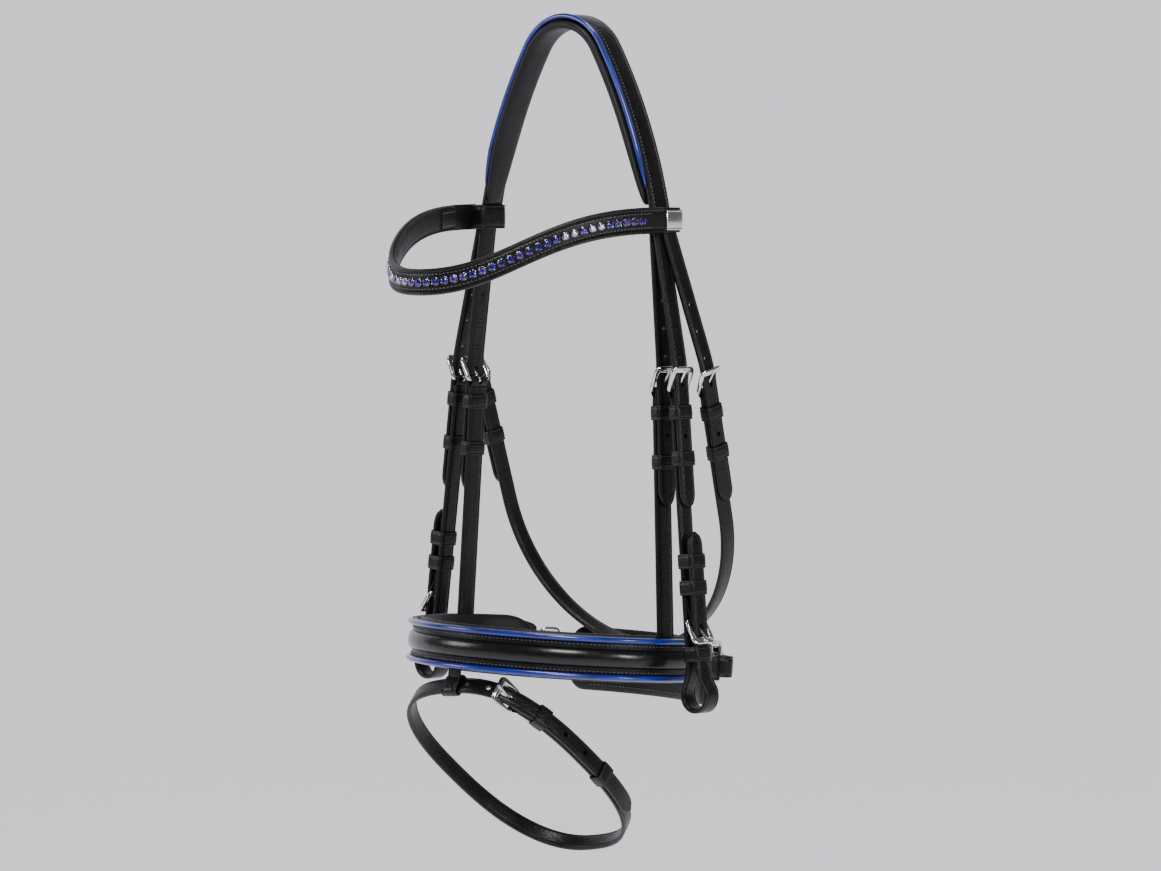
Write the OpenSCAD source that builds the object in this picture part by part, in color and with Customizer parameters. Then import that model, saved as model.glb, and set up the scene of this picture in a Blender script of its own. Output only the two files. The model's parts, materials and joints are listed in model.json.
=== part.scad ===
// Snaffle bridle: padded crown, curved crystal browband, two cheekpieces,
// crank noseband with jaw pad, throatlash and flash strap.
// +X is the horse's left side, -Y is forward, +Z is up. Millimetres.
// The origin is the centre of the crown's padded arc, where the poll sits.

/* [Crown] */
// Radius of the padded arc that rests on the poll
poll_r = 34.5; // [34:0.25:35]
// Width of the crown, front to back
crown_w = 21; // [20:0.5:22]
// Thickness of the crown's leather
crown_t = 3.5; // [3:0.5:4]
// Thickness of the crown's padding
crown_pad_t = 6; // [5.5:0.25:6.5]
// Height from the poll's centre down to the browband
crown_drop = 97; // [95:1:99]

/* [Browband] */
// Half of the browband's width across the head
brow_half_w = 92.8; // [92.6:0.1:93]
// How far the browband stands in front of the crown
brow_reach = 149; // [145:0.5:153]
// How far the middle of the browband dips below its loops
brow_dip = 41; // [36:0.5:44]
// Height of the browband's leather
brow_h = 18; // [16:1:19]
// Pitch of the crystals
crystal_pitch = 6.8; // [6.6:0.1:8]
// Diameter of one crystal
crystal_d = 5; // [4:0.1:5.2]

/* [Straps] */
// Width of the cheek, throat and flash straps
strap_w = 13; // [12:0.5:14]
// Width of the noseband's own straps
nose_strap_w = 15; // [14:0.5:16]
// Thickness of every strap
strap_t = 2.8; // [2.4:0.1:3]
// Height from the browband down to the top buckles
buckle_drop = 116; // [112:1:120]
// Length of a billet below its buckle, to its point
billet_tail = 80; // [78:1:85]

/* [Cheekpieces] */
// Length of a cheekpiece, from its buckle to the neck of its bit loop
cheek_len = 184; // [180:1:190]
// Radius of the leather loop that holds the bit ring
bit_loop_r = 11; // [10:0.5:12]
// Lean of a cheekpiece away from the head
cheek_slope = 6.3; // [6:0.1:6.6]

/* [Noseband] */
// Radius of the noseband's leather
nose_r = 104; // [103.6:0.1:104.4]
// Height of the noseband's padding
nose_h = 34; // [32:1:36]
// Distance between the two piping lines
piping_gap = 25.5; // [24:0.5:27]
// Height from the poll's centre down to the noseband
nose_drop = 397; // [394:1:400]
// Tilt of the noseband, higher at the front
nose_tilt = 5.1; // [4:0.1:6]

/* [Flash strap] */
// Length of the flash strap's oval
flash_len = 177; // [170:1:190]
// Width of the flash strap's oval
flash_wide = 128; // [116:1:132]
// Slope of the hanging flash strap below level
flash_slope = 44; // [42:1:50]

/* [Buckles] */
// Radius of the buckle wire
wire_r = 1.4; // [1.3:0.05:1.5]
// Length of a buckle, from its bar to its front
buckle_len = 16; // [15:0.5:17]

/* [Hidden] */
$fn = 48;

leather = "#1c1c1e";
lining = "#2a2a2d";
patent = "#1540b8";
metal = "silver";

// Gap left between two pieces of leather, or leather and metal
gap = 0.15;
// Wall of a leather keeper
keeper_t = 1;
keeper_h = 8;

// Buckle: thin leather wraps the bar, and the billet lies on the wrap
wrap_t = 1;
wrap_r = wire_r + 0.1 + wrap_t;
billet_off = wrap_r + gap + strap_t / 2;
front_off = billet_off + strap_t / 2 + gap + wire_r;
frame_tilt = asin(front_off / buckle_len);
pin_r = 1;
pin_tilt = frame_tilt + asin((wire_r + pin_r + 0.08) / buckle_len);
frame_corner = 2.6;
slot_w = 3;

// Crown: a top arc, then a long side arc down to the browband
crown_mid_r = poll_r + crown_pad_t + crown_t / 2;
crown_strap_w = crown_w - 3;
crown_pad_w = crown_w - 5;
crown_pad_y = -3;
top_angle = 57;
end_angle = 78;
side_r = 343;
loop_z = -crown_drop;
loop_h = 17;
root_z = loop_z - loop_h / 2;
root_top = 2;

// Places of the straps' roots under the browband loops, and of their buckles
buckle_z = loop_z - buckle_drop;
strap_lean = -1.5;
cheek_root = [87.1, -2.4, root_z];
cheek_at = [106.2, -5.4, buckle_z];
nose_root = [83.7, -1.4, root_z];
nose_at = [90.3, -4.9, buckle_z];
nose_slope = 3;
throat_root = [90.3, 2.6, root_z];
throat_at = [110.7, 18.6, buckle_z];
throat_tilt = 15;
throat_slope = 2.4;
throat_drop = 87;
throat_w = strap_w - 0.5;
bend_up = 18;

// Keepers, as distances below the buckle bar
keeper_at = 14.5;
runner_at = 46;

// Bit loop: two necks of radius neck_r lead into the round of bit_loop_r
bit_gap = 2 * billet_off;
neck_r = 30;
neck_turn = acos((bit_gap + 2 * neck_r) / (2 * (bit_loop_r + neck_r)));
bit_hole_r = bit_loop_r - strap_t / 2 + 0.1;
bit_hole_z = cheek_len + (neck_r + bit_loop_r) * sin(neck_turn);
bit_bar = cheek_len - 28;
bit_keeper = cheek_len - 5;
bit_keeper_top = cheek_len - 50;
bit_runner = cheek_len - 68;
bit_tip = cheek_len - 88;

// Noseband, measured from its own centre
nose_y = -9.5;
nose_t = 3;
pad_in = nose_r - 9;
pad_out = nose_r - 1.8;
nose_end = 124;
roll_h = 13;
piping_r = 2;
chin_w = 15;
chin_t = 2.5;
chin_z = -6;
chin_in = nose_r + 1.9;
chin_gap = 2 * (wrap_r + gap + chin_t / 2);
chin_mid = chin_in + chin_gap / 2;
chin_out = chin_in + chin_gap;
ring_front = 126.2;
ring_rear = 133;
chin_bar = 160;
chin_keeper_at = 169.5;
chin_tip = 177;
chin_tilt = 21.5;
ring_wire = 1.5;
curl_r = 6.2;
curl_at = ring_rear + 1.2;
jaw_start = 138;
jaw_h = 46;
jaw_z = -12;

// Flash strap: a blunt oval that starts in the flash loop
flash_at = [0, nose_y - nose_r - 1, -nose_drop - 17.2];
flash_roll = 8;
flash_blunt = 2.5;
flash_start = 8;
flash_bar = 47;
flash_keeper_s = 68;
flash_runner_s = 131;
flash_tip_s = 160;
flash_loop_w = 11;

// ---------------------------------------------------------------- shapes

// Section of a strap with skived edges, thickness along x and width along y
module strap_section(w, t) {
    c = 0.5;
    polygon([
        [-t / 2 + c, -w / 2], [t / 2 - c, -w / 2], [t / 2, -w / 2 + c],
        [t / 2, w / 2 - c], [t / 2 - c, w / 2], [-t / 2 + c, w / 2],
        [-t / 2, w / 2 - c], [-t / 2, -w / 2 + c]
    ]);
}

// Straight strap along +z
module run(length, w, t = strap_t) {
    linear_extrude(length) strap_section(w, t);
}

// Arc of a strap about +z, from one angle to another
module hoop(r, from, to, w, t = strap_t) {
    rotate_extrude(angle = to - from, start = from)
        translate([r, 0]) strap_section(w, t);
}

// Level band along a list of points, as a flat outline
module ribbon(points, t = strap_t) {
    last = len(points) - 1;
    sides = [
        for (i = [0 : last])
            let (d = points[min(i + 1, last)] - points[max(i - 1, 0)])
                [-d.y, d.x] / norm(d) * t / 2
    ];
    polygon(concat(
        [for (i = [0 : last]) points[i] + sides[i]],
        [for (i = [last : -1 : 0]) points[i] - sides[i]]
    ));
}

// Points along an arc of a circle
function arc(centre, r, from, to, steps = 12) = [
    for (i = [0 : steps])
        let (a = from + (to - from) * i / steps) centre + r * [cos(a), sin(a)]
];

// Straight strap between two points, its width along y
module link(p, q, w, t = strap_t) {
    d = q - p;
    length = norm(d);
    translate(p) rotate([asin(d.y / length), atan2(-d.x, -d.z), 0])
        mirror([0, 0, 1]) run(length, w, t);
}

// Pointed end of a strap along +z, an arch of two arcs
module point(w, t = strap_t) {
    intersection() {
        translate([0, -w / 2, 0]) rotate([0, 90, 0])
            cylinder(r = w, h = t, center = true, $fn = 96);
        translate([0, w / 2, 0]) rotate([0, 90, 0])
            cylinder(r = w, h = t, center = true, $fn = 96);
        translate([-t, -w, -0.01]) cube([2 * t, 2 * w, w]);
    }
}

// Straight strap that ends in a point, its whole length given
module pointed_run(length, w, t = strap_t) {
    straight = length - w * sqrt(3) / 2;
    run(straight, w, t);
    translate([0, 0, straight]) point(w, t);
}

// Frame at a buckle bar on the left side: +x out from the head, +z down the strap
module hang(at, lean, slope) {
    translate(at) rotate([lean, 0, 0]) rotate([0, -slope, 0]) rotate([180, 0, 0])
        children();
}

module both_sides() {
    children();
    mirror([1, 0, 0]) children();
}

// ---------------------------------------------------------------- buckles

// Rounded wire frame; its bar lies along y at the origin and it reaches up to -z
module buckle_frame(w, tilt = frame_tilt, length = buckle_len, r = wire_r) {
    half = w / 2 + r + 0.8;
    side = half - frame_corner;
    rotate([0, -tilt, 0]) {
        for (z = [0, -length])
            translate([0, 0, z]) rotate([90, 0, 0])
                cylinder(r = r, h = 2 * side, center = true);
        for (y = [-half, half])
            translate([0, y, -length + frame_corner])
                cylinder(r = r, h = length - 2 * frame_corner);
        for (y = [-1, 1], z = [0, 1])
            translate([0, y * side, z ? -frame_corner : frame_corner - length])
                mirror([0, y < 0 ? 1 : 0, 0]) mirror([0, 0, z ? 0 : 1])
                    rotate([0, -90, 0])
                        rotate_extrude(angle = 90)
                            translate([frame_corner, 0]) circle(r = r);
    }
}

// Tongue: an eye on the bar and a pin that rests on the frame's front
module buckle_tongue(tilt = pin_tilt, length = buckle_len) {
    rotate([0, -tilt, 0]) difference() {
        union() {
            rotate([90, 0, 0]) cylinder(r = 2.3, h = 2.4, center = true);
            translate([0, 0, -length - 2.6]) cylinder(r = pin_r, h = length + 1);
            translate([0, 0, -length - 2.6]) sphere(r = pin_r);
        }
        rotate([90, 0, 0]) cylinder(r = wire_r + 0.06, h = 4, center = true);
    }
}

// Hole in a billet that lets its tongue through and lets it lift
module tongue_slot(x) {
    translate([x - strap_t, -slot_w / 2, -10.2]) cube([2 * strap_t, slot_w, 9.6]);
}

// Folded end of a strap round the bar, with a slot for the tongue's eye
module wrapped_end(w) {
    difference() {
        union() {
            rotate([90, 0, 0]) cylinder(r = wrap_r, h = w, center = true);
            translate([0, 0, 3]) run(6, w, 2 * wrap_r - 0.4);
            translate([-wrap_r, -w / 2, 0]) cube([2 * wrap_r, w, 3.2]);
        }
        rotate([90, 0, 0]) cylinder(r = wire_r + 0.1, h = w + 2, center = true);
        translate([-5, -slot_w / 2, -5]) cube([10, slot_w, 8.2]);
    }
}

// Leather band round two straps; low and high are the stack's faces along x
module keeper(w, low, high, z) {
    in_w = w + 0.5;
    in_t = high - low + 0.5;
    translate([(low + high) / 2, 0, z]) difference() {
        cube([in_t + 2 * keeper_t, in_w + 2 * keeper_t, keeper_h], center = true);
        cube([in_t, in_w, keeper_h + 2], center = true);
    }
}

// Keeper round a hanging strap and the billet on it
module strap_keeper(w, z) {
    keeper(w, -strap_t / 2, billet_off + strap_t / 2, z);
}

// Upper billet: from its root under the browband to the buckle, then to its point
module billet(root, at, lean, slope, w) {
    up = bend_up;
    down = [sin(slope), 0, -cos(slope)];
    out = [cos(slope), 0, sin(slope)];
    bend = at + turned(billet_off * out - up * down, lean);
    top = root + root_top * (root - bend) / norm(root - bend);
    link(top, bend, w);
    difference() {
        hang(at, lean, slope) translate([billet_off, 0, -up - 0.3])
            pointed_run(up + 0.3 + billet_tail, w);
        hang(at, lean, slope) tongue_slot(billet_off);
    }
}

// A vector turned about x
function turned(v, a) =
    [v.x, v.y * cos(a) - v.z * sin(a), v.y * sin(a) + v.z * cos(a)];

// ---------------------------------------------------------------- crown

// Follows the crown's arcs; children(0) is a section set off from the middle line
module crown_path(end = end_angle) {
    rotate([90, 0, 0])
        rotate_extrude(angle = 2 * top_angle, start = 90 - top_angle)
            translate([crown_mid_r, 0]) children();
    both_sides() crown_side() rotate([90, 0, 0])
        rotate_extrude(angle = end - top_angle + 0.03, start = 90 - end)
            translate([side_r, 0]) children();
}

// Moves the centre of the long side arc to its place
module crown_side() {
    back = side_r - crown_mid_r;
    translate([-back * sin(top_angle), 0, -back * cos(top_angle)]) children();
}

module crown_strap() {
    reach = 9;
    back = (crown_w - crown_strap_w) / 2;
    color(leather) {
        crown_path() translate([0, -back]) strap_section(crown_strap_w, crown_t);
        both_sides() crown_side() rotate([0, end_angle - 90, 0])
            translate([side_r, back, -reach]) run(reach + 0.5, crown_strap_w, crown_t);
    }
}

module crown_padding() {
    in = crown_t / 2 + crown_pad_t / 2;
    color(lining) translate([0, crown_pad_y, 0]) crown_path(end_angle - 3.4)
        translate([-in, 0]) strap_section(crown_pad_w, crown_pad_t - 0.02);
}

module crown_piping() {
    r = 1.9;
    color(patent) translate([0, crown_w / 2 - crown_strap_w - r - gap, 0])
        crown_path(end_angle - 6) translate([0.9, 0])
            polygon([for (a = [0 : 30 : 330]) r * [cos(a), sin(a)]]);
}

// ---------------------------------------------------------------- browband

brow_t = 3;
brow_y = 5.5;
brow_steps = 60;

// Point on the browband's middle line at angle a, from the left loop to the right
function brow_point(a) = [
    brow_half_w * cos(a),
    brow_y - (brow_reach + brow_y) * sin(a),
    loop_z - brow_dip * pow(sin(a), 2.9) * (1 + 0.24 * pow(sin(2 * a), 2))
];

// Level direction out of the browband
function brow_out(a) =
    let (v = [(brow_reach + brow_y) * cos(a), -brow_half_w * sin(a), 0]) v / norm(v);

// Corner points of one cross-section of the browband: x out, z up
function brow_ring(a, low, high, h) = [
    for (c = [[low, -1], [high, -1], [high, 1], [low, 1]])
        brow_point(a) + c[0] * brow_out(a) + [0, 0, c[1] * h / 2]
];

// Closed band that follows the browband between two angles
module brow_band(from, to, low, high, h, steps = brow_steps) {
    rings = [
        for (i = [0 : steps]) brow_ring(from + (to - from) * i / steps, low, high, h)
    ];
    sides = [
        for (i = [0 : steps - 1], k = [0 : 3])
            [4 * i + 4 + k, 4 * i + 4 + (k + 1) % 4, 4 * i + (k + 1) % 4, 4 * i + k]
    ];
    last = 4 * steps;
    polyhedron(
        points = [for (ring = rings) each ring],
        faces = concat(
            [[0, 1, 2, 3]], sides, [[last + 3, last + 2, last + 1, last]]
        ),
        convexity = 6
    );
}

// Browband loop round the crown strap and the three billets under it
loop_in = [80.3, 91.9];
loop_y = [-9.5, 11];
loop_t = 1.6;

module browband_loop() {
    mid = (loop_in[0] + loop_in[1]) / 2;
    wide = loop_in[1] - loop_in[0];
    deep = loop_y[1] - loop_y[0];
    translate([mid, (loop_y[0] + loop_y[1]) / 2, loop_z]) difference() {
        cube([wide + 2 * loop_t, deep + 2 * loop_t, loop_h], center = true);
        cube([wide, deep, loop_h + 2], center = true);
    }
}

module browband_strap() {
    color(leather) {
        both_sides() browband_loop();
        brow_band(4.2, 175.8, -1.2, brow_t - 1.8, brow_h);
    }
}

module browband_lining() {
    color(lining) brow_band(13, 167, -4.6, -1.35, brow_h - 1);
}

// Angles of the crystals, evenly spaced along the band
brow_ends = [11.5, 168.5];
function brow_step(a) = norm(brow_point(a + 0.5) - brow_point(a - 0.5));
function crystal_angles(a) =
    a > brow_ends[1] ? [] : concat([a], crystal_angles(a + crystal_pitch / brow_step(a)));

module each_crystal() {
    for (a = crystal_angles(brow_ends[0])) {
        out = brow_out(a);
        translate(brow_point(a) + (brow_t - 1.8 + 0.02) * out)
            rotate([0, 90, atan2(out.y, out.x)]) children();
    }
}

module crystal_cups() {
    cup_r = crystal_d / 2 + 0.55;
    color(metal) each_crystal() difference() {
        cylinder(r = cup_r, h = 1.6, $fn = 24);
        translate([0, 0, 0.5]) cylinder(r = crystal_d / 2 + 0.05, h = 2, $fn = 24);
    }
}

module crystals() {
    color("#2a1fc0") each_crystal() translate([0, 0, 0.55]) rotate([0, 0, 22.5]) {
        cylinder(d = crystal_d, h = 0.8, $fn = 8);
        translate([0, 0, 0.8]) cylinder(d1 = crystal_d, d2 = crystal_d * 0.55, h = 1.1, $fn = 8);
    }
}

module loop_plate() {
    color(metal) translate([loop_in[1] + loop_t + 0.5, -3.5, loop_z - 7])
        cube([1.2, 14, 14]);
}

// ---------------------------------------------------------------- cheekpieces

module cheek_frame() {
    hang(cheek_at, strap_lean, cheek_slope) children();
}

module cheek_billet() {
    color(leather) billet(cheek_root, cheek_at, strap_lean, cheek_slope, strap_w);
}

// Side view of the long strap: down, round the bit loop and back up
function cheek_path() = concat(
    [[0, 8]],
    arc([-neck_r, cheek_len], neck_r, 0, neck_turn, 8),
    arc([bit_gap / 2, bit_hole_z], bit_loop_r, 176 + neck_turn, 4 - neck_turn, 40),
    arc([bit_gap + neck_r, cheek_len], neck_r, 180 - neck_turn, 180, 8),
    [[bit_gap, bit_tip + strap_w]]
);

// Cheekpiece: buckle end, long strap, bit loop and the billet that turns back up
module cheekpiece() {
    color(leather) cheek_frame() {
        wrapped_end(strap_w);
        difference() {
            translate([0, strap_w / 2, 0]) rotate([90, 0, 0]) linear_extrude(strap_w)
                difference() {
                    ribbon(cheek_path());
                    translate([bit_gap / 2, bit_hole_z]) circle(r = bit_hole_r, $fn = 96);
                }
            translate([0, 0, bit_bar]) mirror([0, 0, 1])
                translate([billet_off, 0, 0]) tongue_slot(billet_off);
        }
        translate([bit_gap, 0, bit_tip + strap_w]) mirror([0, 0, 1]) point(strap_w);
        bit_chape();
    }
}

// Short piece of leather that holds the bit buckle's bar on the cheekpiece
module bit_chape() {
    translate([billet_off, 0, bit_bar]) mirror([0, 0, 1]) difference() {
        union() {
            rotate([90, 0, 0]) cylinder(r = wrap_r, h = strap_w, center = true);
            translate([-wrap_r - gap - 0.1, -strap_w / 2, 0])
                cube([wrap_r + gap + 0.1, strap_w, 6]);
        }
        rotate([90, 0, 0]) cylinder(r = wire_r + 0.1, h = strap_w + 2, center = true);
        translate([-2.3, -slot_w / 2, -5]) cube([10, slot_w, 8]);
    }
}

module cheek_buckle() {
    color(metal) cheek_frame() buckle_frame(strap_w);
}

module cheek_tongue() {
    color(metal) cheek_frame() buckle_tongue();
}

module bit_buckle_frame() {
    cheek_frame() translate([billet_off, 0, bit_bar]) mirror([0, 0, 1]) children();
}

module bit_buckle() {
    color(metal) bit_buckle_frame() buckle_frame(strap_w);
}

module bit_tongue() {
    color(metal) bit_buckle_frame() buckle_tongue();
}

// Sewn keepers of one cheekpiece
module cheek_keepers() {
    color(leather) cheek_frame() {
        strap_keeper(strap_w, keeper_at);
        bit_band(bit_keeper_top);
        bit_band(bit_keeper);
    }
}

module cheek_runner() {
    color(leather) cheek_frame() strap_keeper(strap_w, runner_at);
}

module bit_runner() {
    color(leather) cheek_frame() bit_band(bit_runner);
}

// Keeper round the cheekpiece and its turned-up billet
module bit_band(z) {
    keeper(strap_w, -strap_t / 2, bit_gap + strap_t / 2, z);
}

// ---------------------------------------------------------------- noseband

// Frame of the noseband: angle 0 is the front, and it grows towards the left
module nose_frame() {
    translate([0, nose_y, -nose_drop]) rotate([-nose_tilt, 0, 0]) rotate([0, 0, -90])
        children();
}

module nose_straps_frame() {
    hang(nose_at, strap_lean, nose_slope) children();
}

// Padded section with round top and bottom
module pad_section(r_in, r_out, h) {
    t = r_out - r_in;
    mid = (r_in + r_out) / 2;
    translate([r_in, -h / 2 + t / 2]) square([t, h - t]);
    for (y = [-1, 1])
        translate([mid, y * (h - t) / 2]) circle(d = t);
}

module nosepiece() {
    color(leather) nose_frame() {
        hoop(nose_r, -nose_end, nose_end, nose_h - 4, nose_t);
        for (side = [-1, 1])
            ring_tab(side);
    }
}

// Leather tab that joins the nosepiece to a metal ring
module ring_tab(side) {
    translate([0, 0, chin_z / 2]) difference() {
        union() {
            mirror([0, side < 0 ? 1 : 0, 0])
                hoop(nose_r, nose_end - 1, ring_front, chin_w, nose_t);
            ring_place(side, nose_r, ring_front) cylinder(r = 2.9, h = chin_w, center = true);
        }
        ring_place(side, nose_r, ring_front)
            cylinder(r = ring_wire + 0.15, h = chin_w + 2, center = true);
    }
}

// A place on the noseband: radius r at an angle, on the left (1) or right (-1)
module ring_place(side, r, angle) {
    mirror([0, side < 0 ? 1 : 0, 0]) rotate([0, 0, angle]) translate([r, 0, 0])
        children();
}

module nosepiece_padding() {
    color(lining) difference() {
        nose_frame() rotate_extrude(angle = 2 * nose_end - 6, start = 3 - nose_end)
            pad_section(pad_in, pad_out, nose_h);
        both_sides() nose_straps_frame()
            translate([-1.8, -nose_strap_w / 2 - 0.3, 144]) cube([9, nose_strap_w + 0.6, 58]);
    }
}

module nosepiece_roll() {
    r = nose_r + nose_t / 2 + 0.05;
    color(leather) nose_frame()
        rotate_extrude(angle = 2 * nose_end - 8, start = 4 - nose_end)
            intersection() {
                translate([r - 6.6, 0]) circle(r = 9.4, $fn = 96);
                translate([r, -roll_h / 2]) square([6, roll_h]);
            }
}

module nosepiece_piping() {
    r = nose_r + nose_t / 2 + piping_r + 0.02;
    color(patent) nose_frame()
        for (z = [-piping_gap / 2, piping_gap / 2])
            translate([0, 0, z]) rotate_extrude(angle = 2 * nose_end - 8, start = 4 - nose_end)
                translate([r, 0]) circle(r = piping_r);
}

module noseband_billet() {
    color(leather) billet(nose_root, nose_at, strap_lean, nose_slope, nose_strap_w);
}

module noseband_cheek() {
    color(leather) nose_straps_frame() {
        wrapped_end(nose_strap_w);
        translate([0, 0, 8]) run(189, nose_strap_w);
    }
}

module noseband_buckles() {
    color(metal) both_sides() nose_straps_frame() buckle_frame(nose_strap_w);
}

module noseband_keepers() {
    color(leather) both_sides() nose_straps_frame()
        strap_keeper(nose_strap_w, keeper_at + 1);
}

module noseband_tongue() {
    color(metal) nose_straps_frame() buckle_tongue();
}

module noseband_runner() {
    color(leather) nose_straps_frame() strap_keeper(nose_strap_w, runner_at + 3);
}

module jaw_pad() {
    color(lining) nose_frame() translate([0, 0, jaw_z])
        rotate_extrude(angle = 360 - 2 * jaw_start, start = jaw_start)
            pad_section(pad_in + 2, chin_in - chin_t / 2 - 0.4, jaw_h);
}

// Frame of the chin strap, a little below the nosepiece's middle
module chin_frame() {
    nose_frame() translate([0, 0, chin_z]) children();
}

// Middle line of the chin strap: round the jaw, through the left ring and back
function chin_path() = concat(
    arc([0, 0], chin_in, 360 - ring_rear, curl_at, 40),
    arc((chin_in + curl_r) * [cos(curl_at), sin(curl_at)], curl_r,
        curl_at + 192, curl_at + 398, 24),
    arc([0, 0], chin_out, curl_at + 4.6, chin_tip, 20)
);

// Chin strap: sewn to the right ring, looped through the left one
module chin_strap() {
    color(leather) chin_frame() {
        difference() {
            union() {
                linear_extrude(chin_w, center = true) ribbon(chin_path(), chin_t);
                ring_place(-1, chin_in, ring_rear)
                    cylinder(r = 2.9, h = chin_w, center = true);
            }
            ring_place(-1, chin_in, ring_rear)
                cylinder(r = ring_wire + 0.15, h = chin_w + 2, center = true);
            rotate([0, 0, chin_bar - 2.9]) translate([chin_out, 0, 0])
                cube([8, 10.5, slot_w], center = true);
        }
        rotate([0, 0, chin_tip]) translate([chin_out, 0, 0])
            rotate([-90, 0, 0]) point(chin_w, chin_t);
        chin_chape();
        chin_keeper();
    }
}

// Leather that holds the chin buckle's bar between the two layers
module chin_chape() {
    rotate([0, 0, chin_bar]) translate([chin_mid, 0, 0]) difference() {
        union() {
            cylinder(r = wrap_r, h = chin_w, center = true);
            translate([-chin_gap / 2, 0, -chin_w / 2]) cube([chin_gap / 2, 8, chin_w]);
        }
        cylinder(r = wire_r + 0.1, h = chin_w + 2, center = true);
        translate([-2.3, -5, -slot_w / 2]) cube([10, 8, slot_w]);
    }
}

// Sewn keeper of the chin strap, behind its buckle
module chin_keeper() {
    thick = chin_gap / 2 + chin_t / 2 + 0.4;
    rotate([0, 0, chin_keeper_at]) translate([chin_mid, 0, 0]) difference() {
        translate([-chin_gap / 2, -4, -chin_w / 2 - 1.6])
            cube([chin_gap / 2 + thick + keeper_t, 8, chin_w + 3.2]);
        translate([-2.3, -5, -chin_w / 2 - 0.3]) cube([2.3 + thick, 10, chin_w + 0.6]);
    }
}

// Rectangular wire ring: one long side in the nosepiece's tab, one in the chin strap
module chin_ring(side, rear_r, z_mid) {
    half = chin_w / 2 + 4.6 - chin_z / 4;
    front = place_at(nose_r, ring_front);
    rear = place_at(rear_r, ring_rear);
    across = norm(rear - front);
    translate([0, 0, z_mid]) mirror([0, side < 0 ? 1 : 0, 0]) {
        for (p = [front, rear])
            translate(p) cylinder(r = ring_wire, h = 2 * half + 1.4, center = true);
        for (z = [-half, half])
            translate((front + rear) / 2 + [0, 0, z])
                rotate([0, 90, atan2(rear.y - front.y, rear.x - front.x)])
                    cylinder(r = ring_wire - 0.2, h = across, center = true);
    }
}

function place_at(r, a) = [r * cos(a), r * sin(a), 0];

module chin_rings() {
    color(metal) nose_frame() {
        chin_ring(1, chin_mid, -2.5);
        chin_ring(-1, chin_in, -6.5);
    }
}

// Frame at the chin buckle's bar, which stands upright
module chin_buckle_frame() {
    chin_frame() rotate([0, 0, chin_bar]) translate([chin_mid, 0, 0])
        rotate([-90, 0, 0]) children();
}

module chin_buckle() {
    color(metal) chin_buckle_frame() buckle_frame(chin_w, chin_tilt);
}

module chin_tongue() {
    color(metal) chin_buckle_frame() buckle_tongue(chin_tilt + pin_tilt - frame_tilt);
}

// ---------------------------------------------------------------- throatlash

// Frame at a throatlash buckle; the strap below it hangs in one tilted plane
module throat_frame() {
    hang(throat_at, throat_tilt, -throat_slope) children();
}

module throat_billet() {
    color(leather)
        billet(throat_root, throat_at, throat_tilt, -throat_slope, throat_w);
}

module throat_strap() {
    w = throat_w;
    r = (throat_at.x - throat_drop * tan(throat_slope)) * cos(throat_slope);
    straight = (throat_drop + r * sin(throat_slope)) / cos(throat_slope);
    color(leather) {
        both_sides() throat_frame() {
            wrapped_end(w);
            translate([0, 0, 8]) run(straight - 7.95, w);
        }
        translate([0, throat_at.y, throat_at.z]) rotate([throat_tilt, 0, 0])
            translate([0, 0, -throat_drop]) rotate([90, 0, 0])
                hoop(r, 180 + throat_slope, 360 - throat_slope, w);
    }
}

module throat_buckles() {
    color(metal) both_sides() throat_frame() buckle_frame(throat_w);
}

module throat_keepers() {
    color(leather) both_sides() throat_frame()
        strap_keeper(throat_w, keeper_at + 1);
}

module throat_tongue() {
    color(metal) throat_frame() buckle_tongue();
}

module throat_runner() {
    color(leather) throat_frame() strap_keeper(throat_w, runner_at - 2);
}

// ---------------------------------------------------------------- flash strap

// Frame in the flash loop: +x to the left, +y down the hanging oval
module flash_frame() {
    translate(flash_at) rotate([-flash_slope, 0, 0]) rotate([0, -flash_roll, 0])
        children();
}

// A power that keeps its base's sign
function signed_pow(v, p) = sign(v) * pow(abs(v), p);

// Blunt oval about its own centre; angle 0 is its top end
function oval(a) = [
    flash_wide / 2 * signed_pow(sin(a), 2 / flash_blunt),
    -flash_len / 2 * signed_pow(cos(a), 2 / flash_blunt)
];

// Direction of the oval at an angle
function oval_dir(a) = let (d = oval(a + 0.5) - oval(a - 0.5)) d / norm(d);

// The oval turned and moved so that it starts level in the flash loop
function flash_point(a) =
    let (u = oval_dir(flash_start), p = oval(a) - oval(flash_start))
        [p.x * u.x + p.y * u.y, -p.x * u.y + p.y * u.x];

flash_turn = atan2(oval_dir(flash_start).y, oval_dir(flash_start).x);

// Length along the oval, against its angle
flash_steps = 120;
flash_lengths = [
    for (
        i = 0, a = flash_start, s = 0;
        i <= flash_steps;
        i = i + 1,
        s = s + norm(flash_point(a + 360 / flash_steps) - flash_point(a)),
        a = a + 360 / flash_steps
    ) [s, a]
];
flash_round = flash_lengths[flash_steps][0];
function flash_angle(s) = lookup(s, flash_lengths);

// Point at a length from the loop, set out from the oval by some distance
function flash_out(s, out) =
    let (a = flash_angle(s), d = oval_dir(a))
        flash_point(a) + out * [
            d.y * cos(flash_turn) - d.x * sin(flash_turn),
            -d.y * sin(flash_turn) - d.x * cos(flash_turn)
        ];

// The billet rises from the oval to lie on the buckle's wrap
function flash_rise(s) = billet_off * min(1, max(0, (s - 8) / 26));

// Middle line of the strap: from the buckle round to the loop and out to its point
function flash_path() = concat(
    [for (i = [0 : 84]) flash_out(flash_bar + 6 + (flash_round - flash_bar - 6) * i / 84, 0)],
    [for (i = [1 : 36]) let (s = flash_tip_s * i / 36) flash_out(s, flash_rise(s))]
);

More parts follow.
